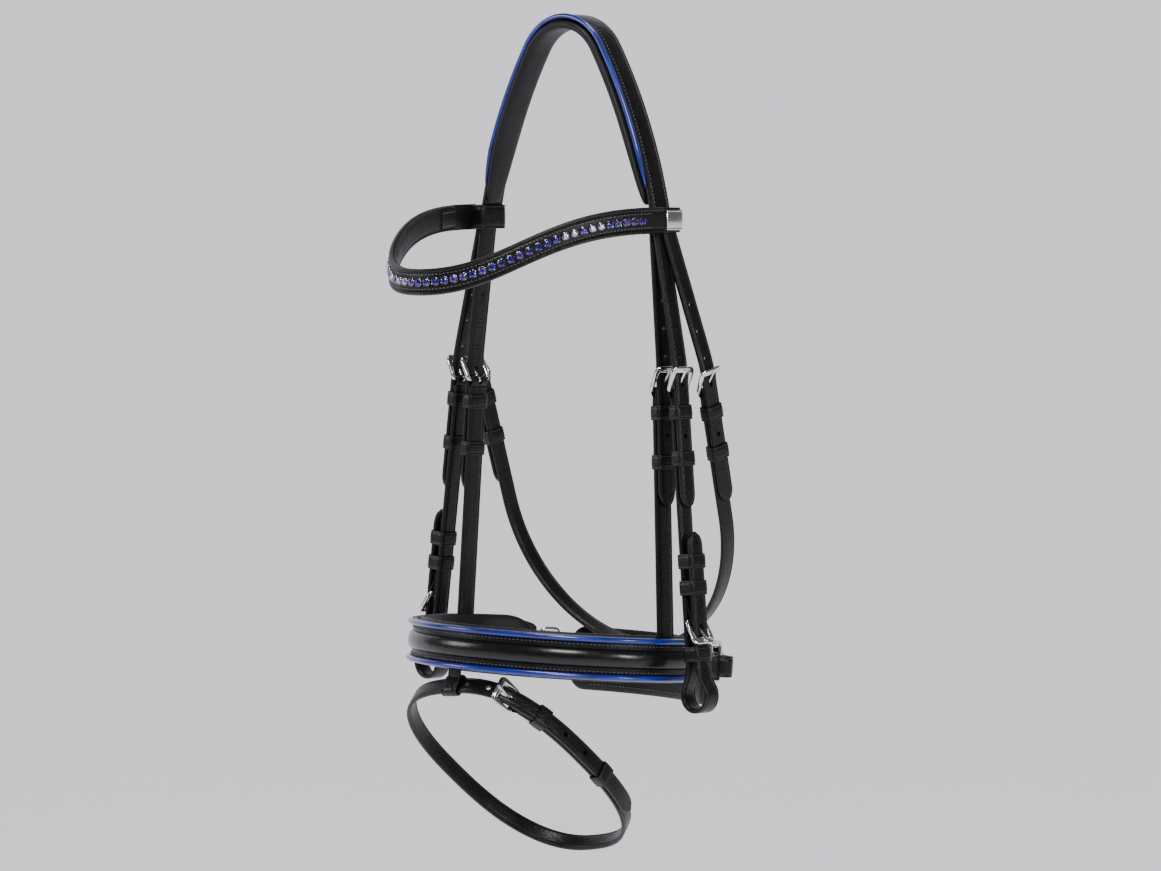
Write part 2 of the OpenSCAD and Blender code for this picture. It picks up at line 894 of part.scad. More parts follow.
// Frame on the oval at a length from the loop, +z along the strap and +x out
module flash_place(s) {
    p = flash_out(s, 0);
    out = flash_out(s, 1) - p;
    flash_frame() translate([p.x, p.y, 0]) rotate([0, 0, atan2(out.y, out.x)])
        rotate([-90, 0, 0]) children();
}

module flash_strap() {
    color(leather) {
        difference() {
            flash_frame() linear_extrude(throat_w, center = true) ribbon(flash_path());
            flash_place(flash_bar) tongue_slot(billet_off);
        }
        flash_place(flash_bar) wrapped_end(throat_w);
        flash_place(flash_tip_s - 0.2) translate([billet_off, 0, 0]) point(throat_w);
    }
}

// Leather loop under the nosepiece that carries the flash strap
module flash_loop() {
    in_w = throat_w + 0.5;
    in_t = strap_t + 1.2;
    color(leather) flash_frame() difference() {
        cube([flash_loop_w, in_t + 2 * keeper_t, in_w + 2 * keeper_t], center = true);
        cube([flash_loop_w + 2, in_t, in_w], center = true);
    }
}

module flash_buckle() {
    color(metal) flash_place(flash_bar) buckle_frame(throat_w);
}

module flash_tongue() {
    color(metal) flash_place(flash_bar) buckle_tongue();
}

module flash_keeper() {
    color(leather) flash_place(flash_keeper_s) flash_band();
}

module flash_runner() {
    color(leather) flash_place(flash_runner_s) flash_band();
}

// Keeper round the two layers, with room for the strap's curve
module flash_band() {
    keeper(throat_w, -strap_t / 2 - 0.15, billet_off + strap_t / 2 + 0.15, 0);
}

// ---------------------------------------------------------------- nodes

module right() {
    mirror([1, 0, 0]) children();
}

crown_strap();
crown_padding();
crown_piping();
browband_strap();
browband_lining();
crystal_cups();
crystals();
loop_plate();
cheek_billet();  // cheek_billet_left
cheekpiece();  // cheekpiece_left
cheek_buckle();  // cheek_buckle_left
cheek_tongue();  // cheek_tongue_left
cheek_keepers();  // cheek_keepers_left
cheek_runner();  // cheek_runner_left
bit_buckle();  // bit_buckle_left
bit_tongue();  // bit_tongue_left
bit_runner();  // bit_runner_left
right() cheek_billet();  // cheek_billet_right
right() cheekpiece();  // cheekpiece_right
right() cheek_buckle();  // cheek_buckle_right
right() cheek_tongue();  // cheek_tongue_right
right() cheek_keepers();  // cheek_keepers_right
right() cheek_runner();  // cheek_runner_right
right() bit_buckle();  // bit_buckle_right
right() bit_tongue();  // bit_tongue_right
right() bit_runner();  // bit_runner_right
nosepiece();
nosepiece_padding();
nosepiece_roll();
nosepiece_piping();
noseband_billet();  // noseband_billet_left
noseband_cheek();  // noseband_cheek_left
right() noseband_billet();  // noseband_billet_right
right() noseband_cheek();  // noseband_cheek_right
noseband_buckles();
noseband_keepers();
noseband_tongue();  // noseband_tongue_left
right() noseband_tongue();  // noseband_tongue_right
noseband_runner();  // noseband_runner_left
right() noseband_runner();  // noseband_runner_right
jaw_pad();
chin_strap();
chin_rings();
chin_buckle();
chin_tongue();
flash_loop();
throat_billet();  // throat_billet_left
right() throat_billet();  // throat_billet_right
throat_strap();
throat_buckles();
throat_keepers();
throat_tongue();  // throat_tongue_left
right() throat_tongue();  // throat_tongue_right
throat_runner();  // throat_runner_left
right() throat_runner();  // throat_runner_right
flash_strap();
flash_buckle();
flash_tongue();
flash_keeper();
flash_runner();
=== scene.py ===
import json
import math
import random

import bpy
import numpy as np
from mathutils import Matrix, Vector


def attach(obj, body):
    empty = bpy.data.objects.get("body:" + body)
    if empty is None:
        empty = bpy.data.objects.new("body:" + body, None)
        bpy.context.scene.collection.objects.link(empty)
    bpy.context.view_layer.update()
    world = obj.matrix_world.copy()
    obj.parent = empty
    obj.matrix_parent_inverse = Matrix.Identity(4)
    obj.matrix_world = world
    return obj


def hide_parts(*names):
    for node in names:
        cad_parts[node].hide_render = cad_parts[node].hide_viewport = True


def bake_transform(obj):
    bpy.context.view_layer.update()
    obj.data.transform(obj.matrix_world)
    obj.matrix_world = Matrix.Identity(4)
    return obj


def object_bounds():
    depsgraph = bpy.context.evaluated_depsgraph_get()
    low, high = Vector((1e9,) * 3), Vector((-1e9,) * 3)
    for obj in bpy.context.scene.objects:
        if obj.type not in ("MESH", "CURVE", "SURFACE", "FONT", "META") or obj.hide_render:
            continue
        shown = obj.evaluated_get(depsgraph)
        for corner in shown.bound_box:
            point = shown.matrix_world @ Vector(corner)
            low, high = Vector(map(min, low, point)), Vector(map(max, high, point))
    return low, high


# Looks of the snaffle bridle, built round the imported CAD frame. Sizes below are in millimetres.
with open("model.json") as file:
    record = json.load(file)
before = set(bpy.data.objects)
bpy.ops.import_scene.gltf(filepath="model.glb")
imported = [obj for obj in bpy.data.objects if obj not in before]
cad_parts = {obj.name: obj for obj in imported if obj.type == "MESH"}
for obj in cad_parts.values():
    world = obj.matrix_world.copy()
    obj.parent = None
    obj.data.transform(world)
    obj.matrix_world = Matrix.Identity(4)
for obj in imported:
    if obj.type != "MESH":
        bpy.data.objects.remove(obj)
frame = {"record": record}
cad_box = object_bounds()
MM = 0.001

# ---------------------------------------------------------------- driving dimensions, as in part.scad

POLL_R, CROWN_W, CROWN_T, CROWN_PAD_T, CROWN_DROP = 34.5, 21.0, 3.5, 6.0, 97.0
BROW_HALF_W, BROW_REACH, BROW_DIP, BROW_H, BROW_Y, BROW_T = 92.8, 149.0, 41.0, 18.0, 5.5, 3.0
CRYSTAL_PITCH, CRYSTAL_D = 6.8, 5.0
STRAP_W, NOSE_STRAP_W, STRAP_T, BUCKLE_DROP, BILLET_TAIL = 13.0, 15.0, 2.8, 116.0, 80.0
CHEEK_LEN, BIT_LOOP_R, CHEEK_SLOPE = 184.0, 11.0, 6.3
NOSE_R, NOSE_H, PIPING_GAP, NOSE_DROP, NOSE_TILT = 104.0, 34.0, 25.5, 397.0, 5.1
FLASH_LEN, FLASH_WIDE, FLASH_SLOPE = 177.0, 128.0, 44.0
WIRE_R, BUCKLE_LEN = 1.4, 16.0
GAP, KEEPER_T, KEEPER_H, WRAP_T = 0.15, 1.0, 8.0, 1.0
WRAP_R = WIRE_R + 0.1 + WRAP_T
BILLET_OFF = WRAP_R + GAP + STRAP_T / 2
FRONT_OFF = BILLET_OFF + STRAP_T / 2 + GAP + WIRE_R
FRAME_TILT = math.degrees(math.asin(FRONT_OFF / BUCKLE_LEN))
PIN_R = 1.0
PIN_TILT = FRAME_TILT + math.degrees(math.asin((WIRE_R + PIN_R + 0.08) / BUCKLE_LEN))
CROWN_MID = POLL_R + CROWN_PAD_T + CROWN_T / 2
TOP_ANGLE, END_ANGLE, SIDE_R = 57.0, 78.0, 343.0
CROWN_STRAP_W, CROWN_PAD_Y = CROWN_W - 3, -3.0
LOOP_Z, LOOP_H = -CROWN_DROP, 17.0
ROOT_Z = LOOP_Z - LOOP_H / 2
BUCKLE_Z = LOOP_Z - BUCKLE_DROP
LEAN = -1.5
CHEEK_ROOT, CHEEK_AT = (87.1, -2.4, ROOT_Z), (106.2, -5.4, BUCKLE_Z)
NOSE_ROOT, NOSE_AT, NOSE_SLOPE = (83.7, -1.4, ROOT_Z), (90.3, -4.9, BUCKLE_Z), 3.0
THROAT_ROOT, THROAT_AT = (90.3, 2.6, ROOT_Z), (110.7, 18.6, BUCKLE_Z)
THROAT_TILT, THROAT_SLOPE, THROAT_DROP, THROAT_W = 15.0, 2.4, 87.0, STRAP_W - 0.5
BEND_UP, ROOT_TOP, KEEPER_AT, RUNNER_AT = 18.0, 2.0, 14.5, 46.0
BIT_GAP, NECK_R = 2 * BILLET_OFF, 30.0
NECK_TURN = math.degrees(math.acos((BIT_GAP + 2 * NECK_R) / (2 * (BIT_LOOP_R + NECK_R))))
BIT_HOLE_Z = CHEEK_LEN + (NECK_R + BIT_LOOP_R) * math.sin(math.radians(NECK_TURN))
BIT_BAR, BIT_KEEPER = CHEEK_LEN - 28, CHEEK_LEN - 5
BIT_KEEPER_TOP, BIT_RUNNER, BIT_TIP = CHEEK_LEN - 50, CHEEK_LEN - 68, CHEEK_LEN - 88
NOSE_Y, NOSE_T = -9.5, 3.0
PAD_IN, PAD_OUT, NOSE_END = NOSE_R - 9, NOSE_R - 1.8, 124.0
CHIN_W, CHIN_T, CHIN_Z = 15.0, 2.5, -6.0
CHIN_IN = NOSE_R + 1.9
CHIN_GAP = 2 * (WRAP_R + GAP + CHIN_T / 2)
CHIN_MID, CHIN_OUT = CHIN_IN + CHIN_GAP / 2, CHIN_IN + CHIN_GAP
RING_FRONT, RING_REAR, CHIN_BAR, CHIN_KEEPER_AT, CHIN_TIP = 126.2, 133.0, 160.0, 169.5, 177.0
CHIN_TILT, RING_WIRE = 21.5, 1.5
CURL_R, CURL_AT = 6.2, RING_REAR + 1.2
JAW_START, JAW_H, JAW_Z = 138.0, 46.0, -12.0
ROLL_H = 13.0
FLASH_AT = (0.0, NOSE_Y - NOSE_R - 1, -NOSE_DROP - 17.2)
FLASH_ROLL, FLASH_BLUNT, FLASH_START = 8.0, 2.5, 8.0
FLASH_BAR, FLASH_KEEPER_S, FLASH_RUNNER_S, FLASH_TIP_S, FLASH_LOOP_W = 47.0, 68.0, 131.0, 160.0, 11.0
LOOP_IN, LOOP_T = (80.3, 91.9), 1.6

# ---------------------------------------------------------------- small maths


def rad(a):
    return math.radians(a)


def rot(axis, deg):
    c, s = math.cos(rad(deg)), math.sin(rad(deg))
    return {"x": np.array([[1, 0, 0], [0, c, -s], [0, s, c]]),
            "y": np.array([[c, 0, s], [0, 1, 0], [-s, 0, c]]),
            "z": np.array([[c, -s, 0], [s, c, 0], [0, 0, 1.0]])}[axis]


def unit(v):
    v = np.asarray(v, float)
    return v / np.maximum(np.linalg.norm(v, axis=-1, keepdims=True), 1e-9)


class Place:
    """A place in the row frame: an origin and three axes."""

    def __init__(self, o=(0, 0, 0), m=np.eye(3)):
        self.o, self.m = np.array(o, float), np.array(m, float)

    def at(self, p=(0, 0, 0), m=np.eye(3)):
        return Place(self.o + self.m @ np.array(p, float), self.m @ m)

    def pts(self, p):
        return self.o + np.asarray(p, float) @ self.m.T

    def dirs(self, d):
        return np.asarray(d, float) @ self.m.T


def hang(at, lean, slope):
    return Place(at, rot("x", lean) @ rot("y", -slope) @ rot("x", 180))


def smoothstep(a, b, x):
    t = np.clip((np.asarray(x, float) - a) / (b - a), 0, 1)
    return t * t * (3 - 2 * t)


def resample(points, step):
    """Points along a polyline at an even step."""
    p = np.asarray(points, float)
    s = lengths(p)
    return along(p, s, np.linspace(0, s[-1], max(2, int(round(s[-1] / step)) + 1)))


def along(values, s, t):
    """Values known at the distances s, read off at the distances t."""
    return np.stack([np.interp(t, s, values[:, k]) for k in range(values.shape[1])], -1)


def rounded(points, d, closed=False, steps=8):
    """A polyline with its corners rounded over a distance d."""
    p = [np.asarray(q, float) for q in points]
    n, out = len(p), []
    for i in range(n):
        if not closed and i in (0, n - 1):
            out.append(p[i])
            continue
        a, b, c = p[i - 1], p[i], p[(i + 1) % n]
        k = min(d, 0.49 * np.linalg.norm(a - b), 0.49 * np.linalg.norm(c - b))
        s, e = b + unit(a - b) * k, b + unit(c - b) * k
        for t in np.linspace(0, 1, steps + 1):
            out.append((1 - t) ** 2 * s + 2 * t * (1 - t) * b + t * t * e)
    return np.array(out)


def arc(centre, r, start, end, steps=12):
    a = np.radians(np.linspace(start, end, steps + 1))
    return [np.array(centre, float) + r * np.array([math.cos(t), math.sin(t)]) for t in a]


def thinned(points, least):
    """Points without those that lie closer than a least distance to the one before."""
    keep = [points[0]]
    for q in points[1:]:
        if np.linalg.norm(q - keep[-1]) > least:
            keep.append(q)
    return keep


def lengths(p):
    """Distance along a path at each of its points."""
    return np.concatenate([[0], np.cumsum(np.linalg.norm(np.diff(p, axis=0), axis=1))])


def from_ends(p):
    """Distance along a path to its nearer end, at each of its points."""
    s = lengths(p)
    return np.minimum(s, s[-1] - s)


# ---------------------------------------------------------------- meshes

MATS = {}


class Geo:
    """Vertices and faces under construction."""

    def __init__(self):
        self.v, self.f, self.m = [], [], []
        self.n = 0

    def add(self, verts, faces, mat=0):
        """Adds one part, its faces turned outwards."""
        verts, base = np.asarray(verts, float), self.n
        mid = verts.mean(0)
        volume = sum(np.dot(verts[f[0]] - mid, np.cross(verts[f[i]] - mid, verts[f[i + 1]] - mid))
                     for f in faces for i in range(1, len(f) - 1))
        self.v.append(verts)
        self.n += len(verts)
        for f in faces:
            f = f if volume > 0 else f[::-1]
            self.f.append(tuple(base + i for i in f))
            self.m.append(mat)
        return self


def sweep(geo, path, outs, sides, profile, closed=False, cap=True, mat=0):
    """Sweeps a profile of (across, out) points along a path. The profile may be one per station."""
    path, outs, sides = (np.asarray(a, float) for a in (path, outs, sides))
    n = len(path)
    prof = np.asarray(profile, float)
    if prof.ndim == 2:
        prof = np.repeat(prof[None], n, 0)
    m = prof.shape[1]
    v = path[:, None] + prof[:, :, :1] * sides[:, None] + prof[:, :, 1:] * outs[:, None]
    faces = []
    for i in range(n if closed else n - 1):
        j = (i + 1) % n
        faces += [(i * m + k, i * m + (k + 1) % m, j * m + (k + 1) % m, j * m + k) for k in range(m)]
    if cap and not closed:
        faces.append(tuple(range(m - 1, -1, -1)))
        faces.append(tuple((n - 1) * m + k for k in range(m)))
    geo.add(v.reshape(-1, 3), faces, mat)
    return geo


def frames(path, side):
    """Outward and sideways directions along a path, from a rough sideways direction."""
    p = np.asarray(path, float)
    t = unit(np.gradient(p, axis=0))
    s = np.asarray(side, float)
    if s.ndim == 1:
        s = np.repeat(s[None], len(p), 0)
    s = unit(s - t * np.sum(s * t, axis=1, keepdims=True))
    return np.cross(s, t), s, t


def flat_profile(hw, t, crease=1.7, groove=0.28, both=False, dome=0.12):
    """Section of a leather strap: rounded edges, a crease near each edge, a slight dome."""
    hw = max(hw, 0.02)
    h = t / 2
    e = min(0.9, hw * 0.8)

    def off(d):
        return max(hw - d, 0.0)

    fade = min(1.0, hw / (crease + 1.2)) ** 2
    top = [(hw, 0.15 * h), (off(0.12 * e), 0.62 * h), (off(0.45 * e), 0.9 * h), (off(e), h),
           (off(crease - 0.45), h), (off(crease), h - groove * fade), (off(crease + 0.45), h),
           (off(hw * 0.55), h + dome * 0.7)]
    low = [(x, -y if both or abs(y) < h * 0.95 else -h) for x, y in top]
    left = [(-x, y) for x, y in reversed(top)]
    low_left = [(-x, y) for x, y in low]
    return np.array(top + [(0, h + dome)] + left + low_left + [(0, -h)] + low[::-1])


def ring_profile(r, n=14):
    a = np.linspace(0, 2 * math.pi, n, endpoint=False)
    return np.stack([r * np.cos(a), r * np.sin(a)], 1)


def closed_ring(corners, corner, steps, step):
    """A rounded closed outline through some corners, at an even step."""
    ring = rounded([np.array(c, float) for c in corners], corner, closed=True, steps=steps)
    return resample(np.vstack([ring, ring[:1]]), step)[:-1]


def flat_ring(ring):
    """A closed outline in a plane, as 3-D points with outward directions."""
    pts = np.column_stack([ring[:, :2], 0 * ring[:, 0]])
    d = unit(np.roll(pts, -1, 0) - np.roll(pts, 1, 0))
    return pts, np.stack([d[:, 1], -d[:, 0], 0 * d[:, 0]], 1)


def repeat(v, n):
    return np.repeat(np.asarray(v, float)[None], n, 0)


def tip_widths(s, total, w):
    """Half width of a strap that ends in an arched point at the far end."""
    length = w * math.sqrt(3) / 2
    z = np.clip(s - (total - length), 0, length)
    hw = np.sqrt(np.maximum(w * w - z * z, 0)) - w / 2
    nose = np.sqrt(np.clip((total - s) / 2.2, 0, 1))
    return np.minimum(hw + 0.9 * (z > 0) * smoothstep(0, length, z), w / 2) * np.where(z > 0, nose, 1)


def tip_stations(path, w):
    """Adds closer stations at a pointed end."""
    s = lengths(path)
    length = w * math.sqrt(3) / 2
    body = s[s < s[-1] - length]
    tail = s[-1] - length * (1 - np.linspace(0, 1, 16)) ** 1.6
    t = np.concatenate([body, tail])
    return along(path, s, t), t


def mirrored(v):
    return np.asarray(v) * np.array([-1, 1, 1.0])


def make(name, geo, mats, mirror=False, smooth_angle=38):
    """A mesh object from millimetre geometry, in the row frame."""
    v = np.concatenate(geo.v) * MM
    faces = geo.f
    if mirror:
        v, faces = mirrored(v), [f[::-1] for f in faces]
    me = bpy.data.meshes.new(name)
    me.from_pydata(v.tolist(), [], faces)
    for m in mats:
        me.materials.append(MATS[m])
    me.polygons.foreach_set("material_index", geo.m)
    finish_mesh(me, smooth_angle)
    ob = bpy.data.objects.new(name, me)
    bpy.context.scene.collection.objects.link(ob)
    return ob


def finish_mesh(me, smooth_angle):
    me.polygons.foreach_set("use_smooth", [True] * len(me.polygons))
    me.set_sharp_from_angle(angle=rad(smooth_angle))
    me.update()


def cut(ob, cutter_geo, mirror=False):
    """Cuts holes and slots out of a piece."""
    tool = make(ob.name + "_cutter", cutter_geo, ["leather"], mirror)
    before = np.array(ob.dimensions)
    for solver in ("MANIFOLD", "EXACT"):
        whole = ob.data.copy()
        mod = ob.modifiers.new("holes", "BOOLEAN")
        mod.operation, mod.solver, mod.object = "DIFFERENCE", solver, tool
        apply_modifiers(ob)
        bpy.context.view_layer.update()
        if len(ob.data.vertices) != len(whole.vertices) and np.all(np.array(ob.dimensions) > 0.9 * before):
            break
        ob.data = whole
    bpy.data.objects.remove(tool)


def apply_modifiers(ob, smooth_angle=38):
    deps = bpy.context.evaluated_depsgraph_get()
    deps.update()
    new = bpy.data.meshes.new_from_object(ob.evaluated_get(deps))
    old = ob.data
    ob.modifiers.clear()
    ob.data = new
    bpy.data.meshes.remove(old)
    finish_mesh(ob.data, smooth_angle)


def rod(geo, a, b, r, n=18, mat=0):
    """A round bar between two points, used as a hole cutter."""
    a, b = np.array(a, float), np.array(b, float)
    t = unit(b - a)
    s = unit(np.cross(t, [0.3, 0.5, 0.8]))
    sweep(geo, [a, b], [np.cross(s, t)] * 2, [s] * 2, ring_profile(r, n), mat=mat)


def block(geo, place, low, high):
    """A box in a place's axes, used as a slot cutter."""
    v = [(x, y, z) for x in (low[0], high[0]) for y in (low[1], high[1]) for z in (low[2], high[2])]
    sides = [(0, 1, 3, 2), (4, 6, 7, 5), (0, 4, 5, 1), (2, 3, 7, 6), (0, 2, 6, 4), (1, 5, 7, 3)]
    geo.add(place.pts(v), sides)


def put(ob, body, *nodes, slot=None):
    """Hands a piece to its body, in place of the CAD nodes that it shows."""
    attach(ob, body)
    if nodes:
        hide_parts(*nodes)
    return ob


def stitch_row(geo, path, outs, sides, across, height, pitch=2.7, length=1.9, r=0.34, margin=0.0, mat=0):
    """A row of slanted stitches along a path, from one margin to the other."""
    s = lengths(path)
    start, end = margin, s[-1] - margin
    line = path + across * sides + height * outs
    for i in range(max(1, int((end - start) / pitch))):
        c = start + (i + 0.5) * pitch
        if c + length / 2 > end:
            break
        slant = unit(along(sides, s, c)) * 0.22
        a = along(line, s, c - length / 2) - slant
        b = along(line, s, c + length / 2) + slant
        o = unit(along(outs, s, c))
        d = unit(np.cross(o, unit(b - a)))
        pts = [a - o * 0.15]
        for t in (0.25, 0.75):
            for w in np.radians(np.arange(0, 360, 60)):
                pts.append(a + (b - a) * t + (math.cos(w) * d + math.sin(w) * o) * r * 0.85 + o * 0.08)
        pts.append(b - o * 0.15)
        faces = [(0, 1 + g, 1 + (g + 1) % 6) for g in range(6)]
        faces += [(1 + g, 7 + g, 7 + (g + 1) % 6, 1 + (g + 1) % 6) for g in range(6)]
        faces += [(13, 7 + (g + 1) % 6, 7 + g) for g in range(6)]
        geo.add(pts, faces, mat)


# ---------------------------------------------------------------- materials


def new(nt, kind, **props):
    """A shader node with its sockets and settings filled in."""
    n = nt.nodes.new(kind)
    for k, v in props.items():
        if k in n.inputs:
            n.inputs[k].default_value = v
        else:
            setattr(n, k, v)
    return n


class Shader:
    """A material while its nodes are being wired up."""

    def __init__(self, name):
        m = bpy.data.materials.new(name)
        m.use_nodes = True
        self.nt = m.node_tree
        self.nt.nodes.clear()
        out = self.nt.nodes.new("ShaderNodeOutputMaterial")
        self.surface = self.nt.nodes.new("ShaderNodeBsdfPrincipled")
        self.link(self.surface.outputs[0], out.inputs[0])
        self.coords = self.nt.nodes.new("ShaderNodeTexCoord").outputs["Object"]
        MATS[name] = m

    def link(self, source, target):
        self.nt.links.new(source, target)

    def texture(self, kind, **props):
        """A procedural texture in the piece's own coordinates."""
        n = new(self.nt, "ShaderNodeTex" + kind, **props)
        self.link(self.coords, n.inputs["Vector"])
        return n

    def ramp(self, source, dark, light, low=0.0, high=1.0):
        n = new(self.nt, "ShaderNodeValToRGB")
        for element, colour, position in zip(n.color_ramp.elements, (dark, light), (low, high)):
            element.color = (*colour, 1)
            element.position = position
        self.link(source, n.inputs["Fac"])
        return n.outputs[0]

    def spread(self, source, low, high, source_low=0.0, source_high=1.0):
        """Maps a value from one range to another."""
        n = new(self.nt, "ShaderNodeMapRange")
        for socket, value in zip(list(n.inputs)[1:5], (source_low, source_high, low, high)):
            socket.default_value = value
        self.link(source, n.inputs["Value"])
        return n.outputs[0]

    def bump(self, height, strength, distance, below=None):
        n = new(self.nt, "ShaderNodeBump", Strength=strength, Distance=distance)
        self.link(height, n.inputs["Height"])
        if below is not None:
            self.link(below, n.inputs["Normal"])
        return n.outputs[0]

    def connect(self, **sources):
        """Feeds the surface's sockets; an underscore in a name stands for a space."""
        for k, source in sources.items():
            self.link(source, self.surface.inputs[k.replace("_", " ")])

    def settle(self, **values):
        """Sets the surface's sockets, named in the same way."""
        for k, v in values.items():
            self.surface.inputs[k.replace("_", " ")].default_value = v


def leather(name, base, light, rough, grain=700, depth=0.00024, coat=0.0, wear=0.5):
    """Dyed leather: pebbled grain, fine pores, slow colour change and lighter worn edges."""
    m = Shader(name)
    cells = m.texture("Voronoi", feature="SMOOTH_F1", Scale=grain)
    pores = m.texture("Noise", Scale=grain * 2.6, Detail=4.0)
    slow = m.texture("Noise", Scale=38.0, Detail=5.0)
    folds = m.texture("Noise", Scale=150.0, Detail=3.0)
    edge = new(m.nt, "ShaderNodeNewGeometry").outputs["Pointiness"]
    worn = new(m.nt, "ShaderNodeMix", data_type="RGBA")
    worn.inputs["B"].default_value = (light[0] * 2.1, light[1] * 2.05, light[2] * 2.0, 1)
    m.link(m.spread(edge, 0.0, wear, 0.53, 0.64), worn.inputs["Factor"])
    m.link(m.ramp(slow.outputs["Fac"], base, light, 0.35, 0.75), worn.inputs["A"])
    grained = new(m.nt, "ShaderNodeMath", operation="MULTIPLY_ADD")
    grained.inputs[1].default_value = 0.35
    m.link(pores.outputs["Fac"], grained.inputs[0])
    m.link(cells.outputs["Distance"], grained.inputs[2])
    pebbles = m.bump(grained.outputs[0], 0.8, depth)
    m.connect(Base_Color=worn.outputs["Result"],
              Roughness=m.spread(folds.outputs["Fac"], rough - 0.1, rough + 0.1),
              Normal=m.bump(folds.outputs["Fac"], 0.35, 0.0006, below=pebbles))
    m.settle(Coat_Weight=coat, Coat_Roughness=0.22, Specular_IOR_Level=0.3)


def patent(name, base, dark):
    """Lacquered piping: a smooth coat over slightly uneven colour."""
    m = Shader(name)
    slow = m.texture("Noise", Scale=60.0, Detail=3.0)
    wave = m.texture("Noise", Scale=240.0, Detail=2.0)
    m.connect(Base_Color=m.ramp(slow.outputs["Fac"], dark, base, 0.3, 0.6),
              Normal=m.bump(wave.outputs["Fac"], 0.2, 0.0002))
    m.settle(Roughness=0.28, Coat_Weight=0.7, Coat_Roughness=0.12)


def metal(name, base, rough, brushed=0.0):
    """Polished or brushed metal with faint handling marks."""
    m = Shader(name)
    fine = m.texture("Noise", Scale=420.0, Detail=6.0)
    slow = m.texture("Noise", Scale=70.0, Detail=3.0).outputs["Fac"]
    m.connect(Base_Color=m.ramp(slow, [c * 0.82 for c in base], base),
              Roughness=m.spread(slow, rough * 0.6, rough * 1.7),
              Normal=m.bump(fine.outputs["Fac"], 0.12 + brushed, 0.00005))
    m.settle(Metallic=1.0)


def stone(name, deep, bright):
    """A foil-backed cut stone: coloured mirror facets under a clear coat."""
    m = Shader(name)
    cell = m.texture("Voronoi", Scale=1300.0)
    m.connect(Base_Color=m.ramp(cell.outputs["Color"], deep, bright),
              Normal=m.bump(cell.outputs["Distance"], 0.6, 0.0002))
    m.settle(Metallic=0.85, Roughness=0.06, Coat_Weight=1.0, Coat_Roughness=0.01)


def thread(name, base):
    """Waxed sewing thread with a fine twist."""
    m = Shader(name)
    twist = m.texture("Wave", Scale=1500.0, Distortion=2.0).outputs["Fac"]
    m.connect(Base_Color=m.ramp(twist, [c * 0.5 for c in base], base), Normal=m.bump(twist, 0.6, 0.0001))
    m.settle(Roughness=0.5, Sheen_Weight=0.4)


leather("leather", (0.0022, 0.0022, 0.0026), (0.006, 0.006, 0.0064), 0.37, coat=0.05, wear=0.3)
leather("lining", (0.0045, 0.0045, 0.005), (0.010, 0.010, 0.011), 0.48, grain=650, depth=0.00014, wear=0.25)
leather("roll", (0.003, 0.003, 0.0034), (0.006, 0.006, 0.0065), 0.25, grain=1100, depth=0.00005,
        coat=0.35, wear=0.2)
patent("patent", (0.0008, 0.016, 0.26), (0.0004, 0.006, 0.10))
metal("silver", (0.80, 0.79, 0.76), 0.11)
metal("setting", (0.36, 0.36, 0.38), 0.16)
metal("plate", (0.80, 0.80, 0.78), 0.20, brushed=0.15)
thread("thread", (0.10, 0.10, 0.104))
stone("stone_blue", (0.004, 0.003, 0.06), (0.05, 0.03, 0.42))
stone("stone_violet", (0.012, 0.003, 0.08), (0.16, 0.08, 0.55))
stone("stone_clear", (0.10, 0.10, 0.22), (0.80, 0.80, 0.95))
stone("stone_aqua", (0.005, 0.08, 0.2), (0.05, 0.45, 0.7))

# ---------------------------------------------------------------- leather pieces


def strap(name, path, side, w, t, tip=False, both=False, crease=1.7, groove=0.28, dome=0.12, mirror=False):
    """A leather strap along a path, with an arched point at the far end if tip is set."""
    path = np.asarray(path, float)
    half = np.full(len(path), w / 2.0)
    if tip:
        path, s = tip_stations(path, w)
        half = tip_widths(s, s[-1], w)
    outs, sides, _ = frames(path, side)
    prof = np.stack([flat_profile(h, t, crease, groove, both, dome) for h in half])
    ob = make(name, sweep(Geo(), path, outs, sides, prof), ["leather"], mirror)
    return ob, path, outs, sides


def stadium(geo, place, x0, x1, z0, z1, hw, n=8):
    """A slot cutter with round ends, running through along the place's x."""
    pts = []
    for k in range(n + 1):
        a = math.pi * k / n
        pts.append((hw * math.cos(a), z1 - hw + hw * math.sin(a)))
    for k in range(n + 1):
        a = math.pi + math.pi * k / n
        pts.append((hw * math.cos(a), z0 + hw + hw * math.sin(a)))
    m = len(pts)
    v = place.pts([(x0, y, z) for y, z in pts] + [(x1, y, z) for y, z in pts])
    faces = [tuple(range(m - 1, -1, -1)), tuple(range(m, 2 * m))]
    faces += [(i, (i + 1) % m, m + (i + 1) % m, m + i) for i in range(m)]
    geo.add(v, faces)


def join(name, obs):
    """Joins meshes of one piece."""
    if len(obs) > 1:
        with bpy.context.temp_override(active_object=obs[0], selected_editable_objects=obs, object=obs[0],
                                       selected_objects=obs):
            bpy.ops.object.join()
    obs[0].name = name
    obs[0].data.name = name
    return obs[0]


